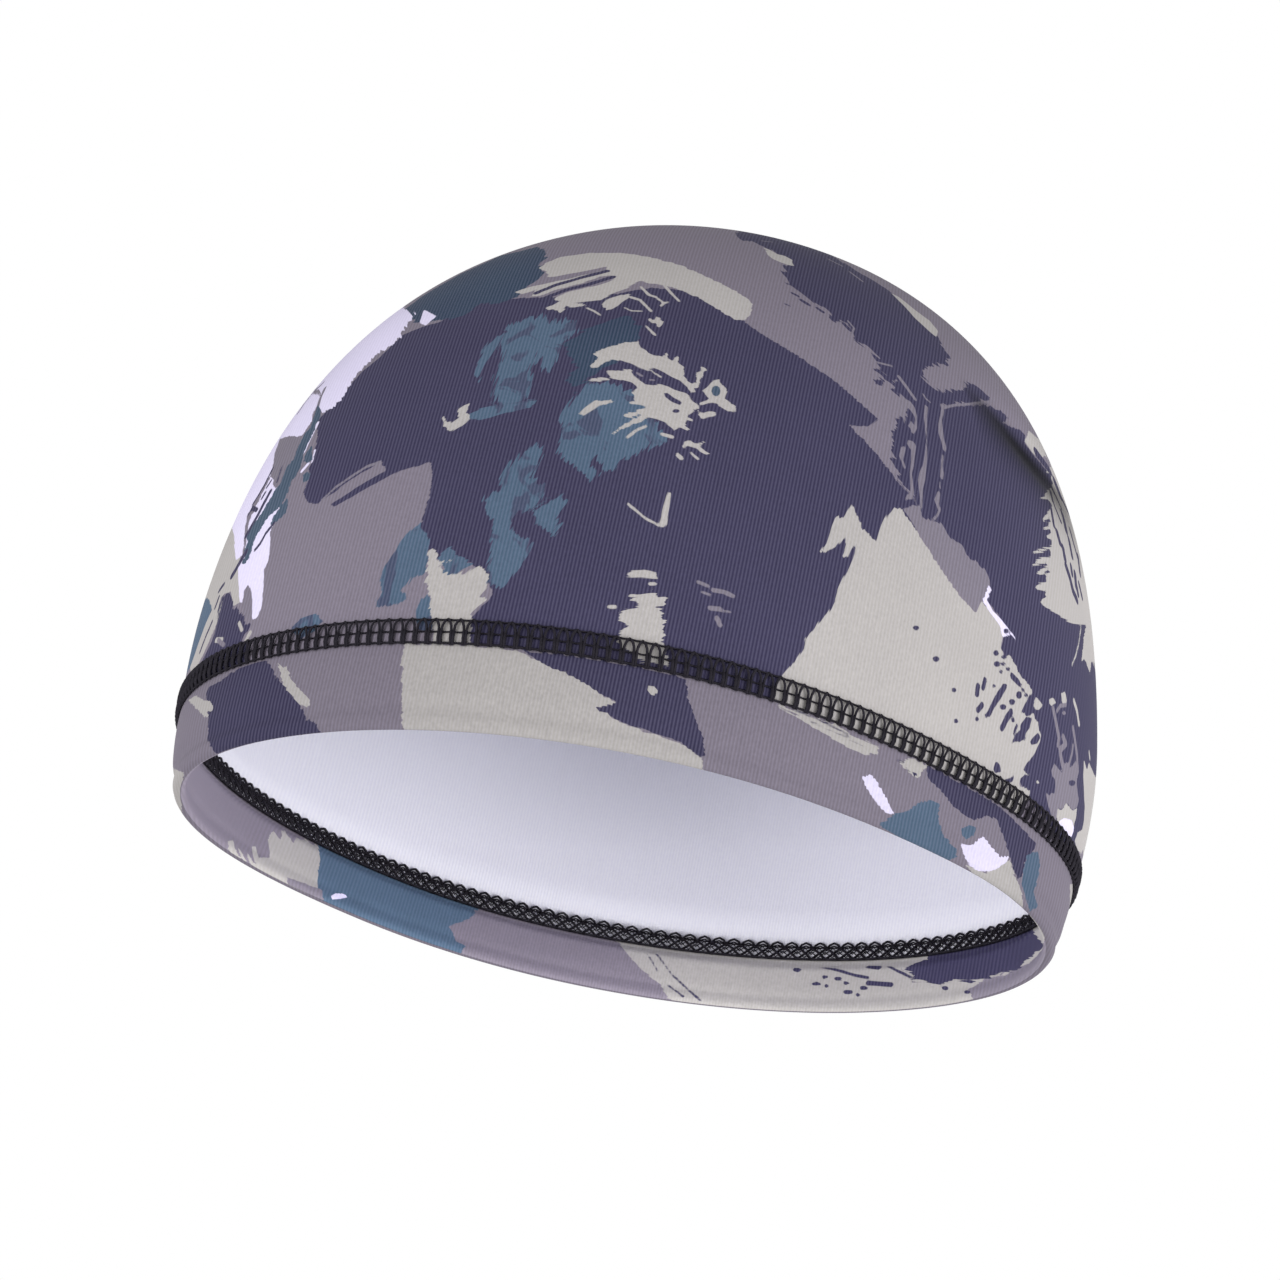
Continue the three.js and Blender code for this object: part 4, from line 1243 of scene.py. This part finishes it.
def printed_knit(name, ground, tones, cover_group, limb_shade, teal_streaks=0.0):
    """Stretch knit with the brush-stroke print: a ground colour under the inks, ribs and fine fleck.

    limb_shade darkens the cloth where it turns up and away, and teal_streaks is how strongly dark strokes break up
    the teal.
    """
    material = bpy.data.materials.new(name)
    material.use_nodes = True
    tree = material.node_tree
    shader = tree.nodes["Principled BSDF"]
    place = node(tree, "ShaderNodeTexCoord").outputs["Object"]
    cloudy = node(tree, "ShaderNodeTexNoise", {"Vector": place, "Scale": 60.0, "Detail": 2.0}).outputs["Fac"]
    color = ground
    for number, ink in enumerate(INKS):
        stored = node(tree, "ShaderNodeAttribute", attribute_type="GEOMETRY", attribute_name=ink)
        cover = node(tree, "ShaderNodeGroup", node_tree=cover_group)
        tree.links.new(stored.outputs["Color"], cover.inputs["Ink"])
        tree.links.new(stored.outputs["Alpha"], cover.inputs["Across"])
        cover.inputs["Seed"].default_value = 3.7 * number
        light, dark = tones[ink]
        ink_color = blend(tree, cloudy, light, dark)
        if ink == "teal":
            drawn = node(tree, "ShaderNodeMapping", {"Vector": place, "Scale": (1.0, 1.0, 0.45),
                                                     "Rotation": (0.3, 0.5, 0.0)})
            streaks = node(tree, "ShaderNodeTexNoise", {"Vector": drawn.outputs[0], "Scale": 190.0, "Detail": 3.0,
                                                        "Distortion": 1.2}).outputs["Fac"]
            share = stretched(tree, streaks, 0.56, 0.61, teal_streaks)
            ink_color = blend(tree, share, ink_color, tones["indigo"][0])
        color = blend(tree, cover.outputs["Cover"], color, ink_color)
    ribs = knit_ribs(tree, place)
    fleck = node(tree, "ShaderNodeTexNoise", {"Vector": place, "Scale": 1500.0, "Detail": 1.0}).outputs["Fac"]
    edge_on = node(tree, "ShaderNodeLayerWeight", {"Blend": 0.5}).outputs["Facing"]
    facing = node(tree, "ShaderNodeNewGeometry").outputs["Normal"]
    upward = stretched(tree, node(tree, "ShaderNodeSeparateXYZ", {"Vector": facing}).outputs["Z"], 0.15, 0.6)
    limb = maths(tree, "MULTIPLY", maths(tree, "POWER", edge_on, 2.0), maths(tree, "MULTIPLY", upward, limb_shade))
    color = blend(tree, maths(tree, "MULTIPLY", ribs, RIB_SHOW), color, RIB_COLOR)
    light = maths(tree, "MULTIPLY_ADD", ribs, RIB_TONE, KNIT_LIGHT - RIB_TONE / 2)
    light = maths(tree, "SUBTRACT", light, limb)
    # painted shadow along the soft crease
    crease = node(tree, "ShaderNodeAttribute", attribute_type="GEOMETRY", attribute_name="crease_shade")
    light = maths(tree, "MULTIPLY", light,
                  maths(tree, "MULTIPLY_ADD", crease.outputs["Fac"], -CREASE_DARK, 1.0))
    square_on = maths(tree, "SUBTRACT", 1.0, edge_on)
    fleck_share = maths(tree, "MULTIPLY", maths(tree, "SUBTRACT", fleck, 0.5),
                        maths(tree, "MULTIPLY", square_on, FLECK_SHOW))
    light = maths(tree, "ADD", light, fleck_share)
    shade = node(tree, "ShaderNodeCombineColor", {"Red": light, "Green": light, "Blue": light}).outputs["Color"]
    color = blend(tree, 1.0, color, shade, "MULTIPLY")
    tree.links.new(color, shader.inputs["Base Color"])
    height = maths(tree, "ADD", ribs, maths(tree, "MULTIPLY", fleck, 0.7))
    knit_bump(tree, shader, height, maths(tree, "MULTIPLY", square_on, 0.45), 0.00012)
    shader.inputs["Roughness"].default_value = 0.6
    shader.inputs["Specular IOR Level"].default_value = 0.02
    return material


def white_knit():
    """The unprinted inside of the knit, with painted shade that makes it a little darker deep in the hollow."""
    material = bpy.data.materials.new("white_inside_knit")
    material.use_nodes = True
    tree = material.node_tree
    shader = tree.nodes["Principled BSDF"]
    place = node(tree, "ShaderNodeTexCoord").outputs["Object"]
    ribs = knit_ribs(tree, place)
    fleck = node(tree, "ShaderNodeTexNoise", {"Vector": place, "Scale": 1300.0, "Detail": 1.0}).outputs["Fac"]
    knitted = blend(tree, maths(tree, "MULTIPLY_ADD", ribs, 0.5, maths(tree, "MULTIPLY", fleck, 0.5)),
                    WHITE["dark"], WHITE["light"])
    # painted shade, growing towards the top of the hollow
    height = node(tree, "ShaderNodeSeparateXYZ", {"Vector": place}).outputs["Z"]
    deep = stretched(tree, height, *PAINTED_SHADE_BETWEEN)
    tree.links.new(blend(tree, deep, knitted, WHITE["deep"]), shader.inputs["Base Color"])
    knit_bump(tree, shader, maths(tree, "ADD", ribs, fleck), 0.3, 0.00012)
    shader.inputs["Roughness"].default_value = 0.8
    return material


def twisted_thread():
    """Textured polyester thread, almost black, paler where its twist rises, as a painted sheen on its turns."""
    material = bpy.data.materials.new("seam_thread")
    material.use_nodes = True
    tree = material.node_tree
    shader = tree.nodes["Principled BSDF"]
    place = node(tree, "ShaderNodeTexCoord").outputs["Object"]
    twist = node(tree, "ShaderNodeTexNoise", {"Vector": place, "Scale": 3200.0, "Detail": 2.0}).outputs["Fac"]
    tree.links.new(blend(tree, twist, BLACK["dark"], BLACK["light"]), shader.inputs["Base Color"])
    knit_bump(tree, shader, twist, 0.6, 0.0002)
    shader.inputs["Roughness"].default_value = 0.75
    shader.inputs["Specular IOR Level"].default_value = 0.12
    return material


# ---------------------------------------------------------------- camera, light and stage

def make_camera(view):
    """The photograph's camera."""
    data = bpy.data.cameras.new("photo_camera")
    data.sensor_width = SENSOR_MM
    data.lens = SENSOR_MM * PHOTO["focal_pixels"] / PHOTO["pixels"]
    camera = bpy.data.objects.new("photo_camera", data)
    camera.location = Vector(view.place) * MM
    camera.rotation_euler = Vector(view.forward).to_track_quat("-Z", "Y").to_euler()
    bpy.context.scene.collection.objects.link(camera)
    bpy.context.scene.camera = camera


def make_softbox(box, view):
    """A round softbox that faces the cap."""
    centre = Vector(LOOK_AT) * MM
    data = bpy.data.lights.new(box.name, "AREA")
    data.shape = "DISK"
    data.size = box.size
    data.energy = box.watts
    light = bpy.data.objects.new(box.name, data)
    light.location = (centre + Vector(view.forward) * box.forward + Vector(view.right) * box.right
                      + Vector(view.up) * box.up)
    light.rotation_euler = (centre - light.location).to_track_quat("-Z", "Y").to_euler()
    bpy.context.scene.collection.objects.link(light)


def make_stage(view):
    """A pale floor below the cap, under an even white sky, and the softboxes."""
    bpy.context.scene.view_settings.view_transform = "Standard"
    world = bpy.data.worlds.new("white_studio")
    world.use_nodes = True
    world.node_tree.nodes["Background"].inputs["Color"].default_value = (1, 1, 1, 1)
    world.node_tree.nodes["Background"].inputs["Strength"].default_value = 1.0
    bpy.context.scene.world = world
    bm = bmesh.new()
    bmesh.ops.create_grid(bm, x_segments=1, y_segments=1, size=FLOOR["half_width"])
    bmesh.ops.translate(bm, verts=bm.verts, vec=(0, 0, FLOOR["height"]))
    mesh = bpy.data.meshes.new("floor")
    bm.to_mesh(mesh)
    bm.free()
    floor = bpy.data.objects.new("floor", mesh)
    bpy.context.scene.collection.objects.link(floor)
    material = bpy.data.materials.new("pale_floor")
    material.use_nodes = True
    shader = material.node_tree.nodes["Principled BSDF"]
    shader.inputs["Base Color"].default_value = (FLOOR["shade"],) * 3 + (1,)
    shader.inputs["Roughness"].default_value = 0.9
    mesh.materials.append(material)
    for box in SOFTBOXES:
        make_softbox(box, view)


# ---------------------------------------------------------------- the cap

photo_view = view_from(PHOTO["azimuth"], PHOTO["elevation"])
make_camera(photo_view)
make_stage(photo_view)

outer_wall, inner_wall = casting_wall(0.0), casting_wall(HEM_WALL)
cover_group = brush_ink()

crown_marks = shaped_marks(CROWN_LINES, CROWN_SPOTS)
crown_print = [(cast_all(CROWN_PATCHES, crown_marks, photo_view, outer_wall, False), photo_view, False, None)]
for azimuth, elevation, turn, shift, squarely in UNSEEN_VIEWS:
    view = view_from(azimuth, elevation)
    unseen = cast_all(moved_print(CROWN_PATCHES, turn, shift), [], view, outer_wall, False)
    crown_print.append((unseen, view, False, (photo_view, squarely)))
back_view = view_from(*BACK_VIEW)
back_strokes = cast_all(BACK_PATCHES, [], back_view, outer_wall, False)
crown_print.append((back_strokes, back_view, False, (photo_view, SQUARELY["crown"])))
crown_bm = crown_cloth()
crown_ink = printed(crown_bm, crown_print, CROWN_CUT_LIMITS)
crown = piece_of(crown_bm, "crown_knit", "crown")
keep_ink(crown, crown_ink)
crown.data.materials.append(
    printed_knit("printed_crown_knit", GROUND, TONES, cover_group, LIMB_SHADE, TEAL_STREAKS))
crown.data.materials.append(white_knit())

band_marks, lining_marks = shaped_marks(BAND_LINES, BAND_SPOTS), shaped_marks(LINING_LINES, LINING_SPOTS)
band_print = [(cast_all(BAND_PATCHES, band_marks, photo_view, outer_wall, False), photo_view, False, None),
              (cast_all(LINING_PATCHES, lining_marks, photo_view, inner_wall, True), photo_view, True, None)]
for azimuth, mirrored, down in UNSEEN_HEM_VIEWS:
    view = view_from(azimuth, PHOTO["elevation"])
    outside = moved_print(BAND_PATCHES, 0, (0, down), mirrored)
    lining = moved_print(LINING_PATCHES, 0, (0, -down), mirrored)
    band_print.append((cast_all(outside, [], view, outer_wall, False), view, False, (photo_view, SQUARELY["hem"])))
    band_print.append((cast_all(lining, [], view, inner_wall, True), view, True, (photo_view, SQUARELY["lining"])))
hem_bm = hem_cloth()
hem_ink = printed(hem_bm, band_print, HEM_CUT_LIMITS)
hem = piece_of(hem_bm, "hem_band_knit", "hem_band")
keep_ink(hem, hem_ink)
# The hem's tones are darkened as painted shade, and those of its inner face are brightened as painted light
hem_tones = {ink: [dimmed(tone, HEM_PAINTED_SHADE) for tone in pair] for ink, pair in TONES.items()}
hem.data.materials.append(
    printed_knit("printed_hem_knit", dimmed(GROUND, HEM_PAINTED_SHADE), hem_tones, cover_group, LIMB_SHADE))
lining_tones = {ink: [dimmed(tone, LINING_CHALK_PAINTED_LIGHT if ink == "chalk" else LINING_PAINTED_LIGHT) for tone in pair]
                for ink, pair in TONES.items()}
hem.data.materials.append(
    printed_knit("printed_hem_lining", dimmed(GROUND, LINING_PAINTED_LIGHT), lining_tones, cover_group, 0.0))

outer_seam = sewn_round("outer_covering_stitch", "outer_seam", outer_stitch, OUTER_PITCH, 1, 0.0)
inner_seam = sewn_round("inner_looper_stitch", "inner_seam", inner_stitch, INNER_PITCH, -1, CROWN_WALL)
thread_finish = twisted_thread()
outer_seam.data.materials.append(thread_finish)
inner_seam.data.materials.append(thread_finish)
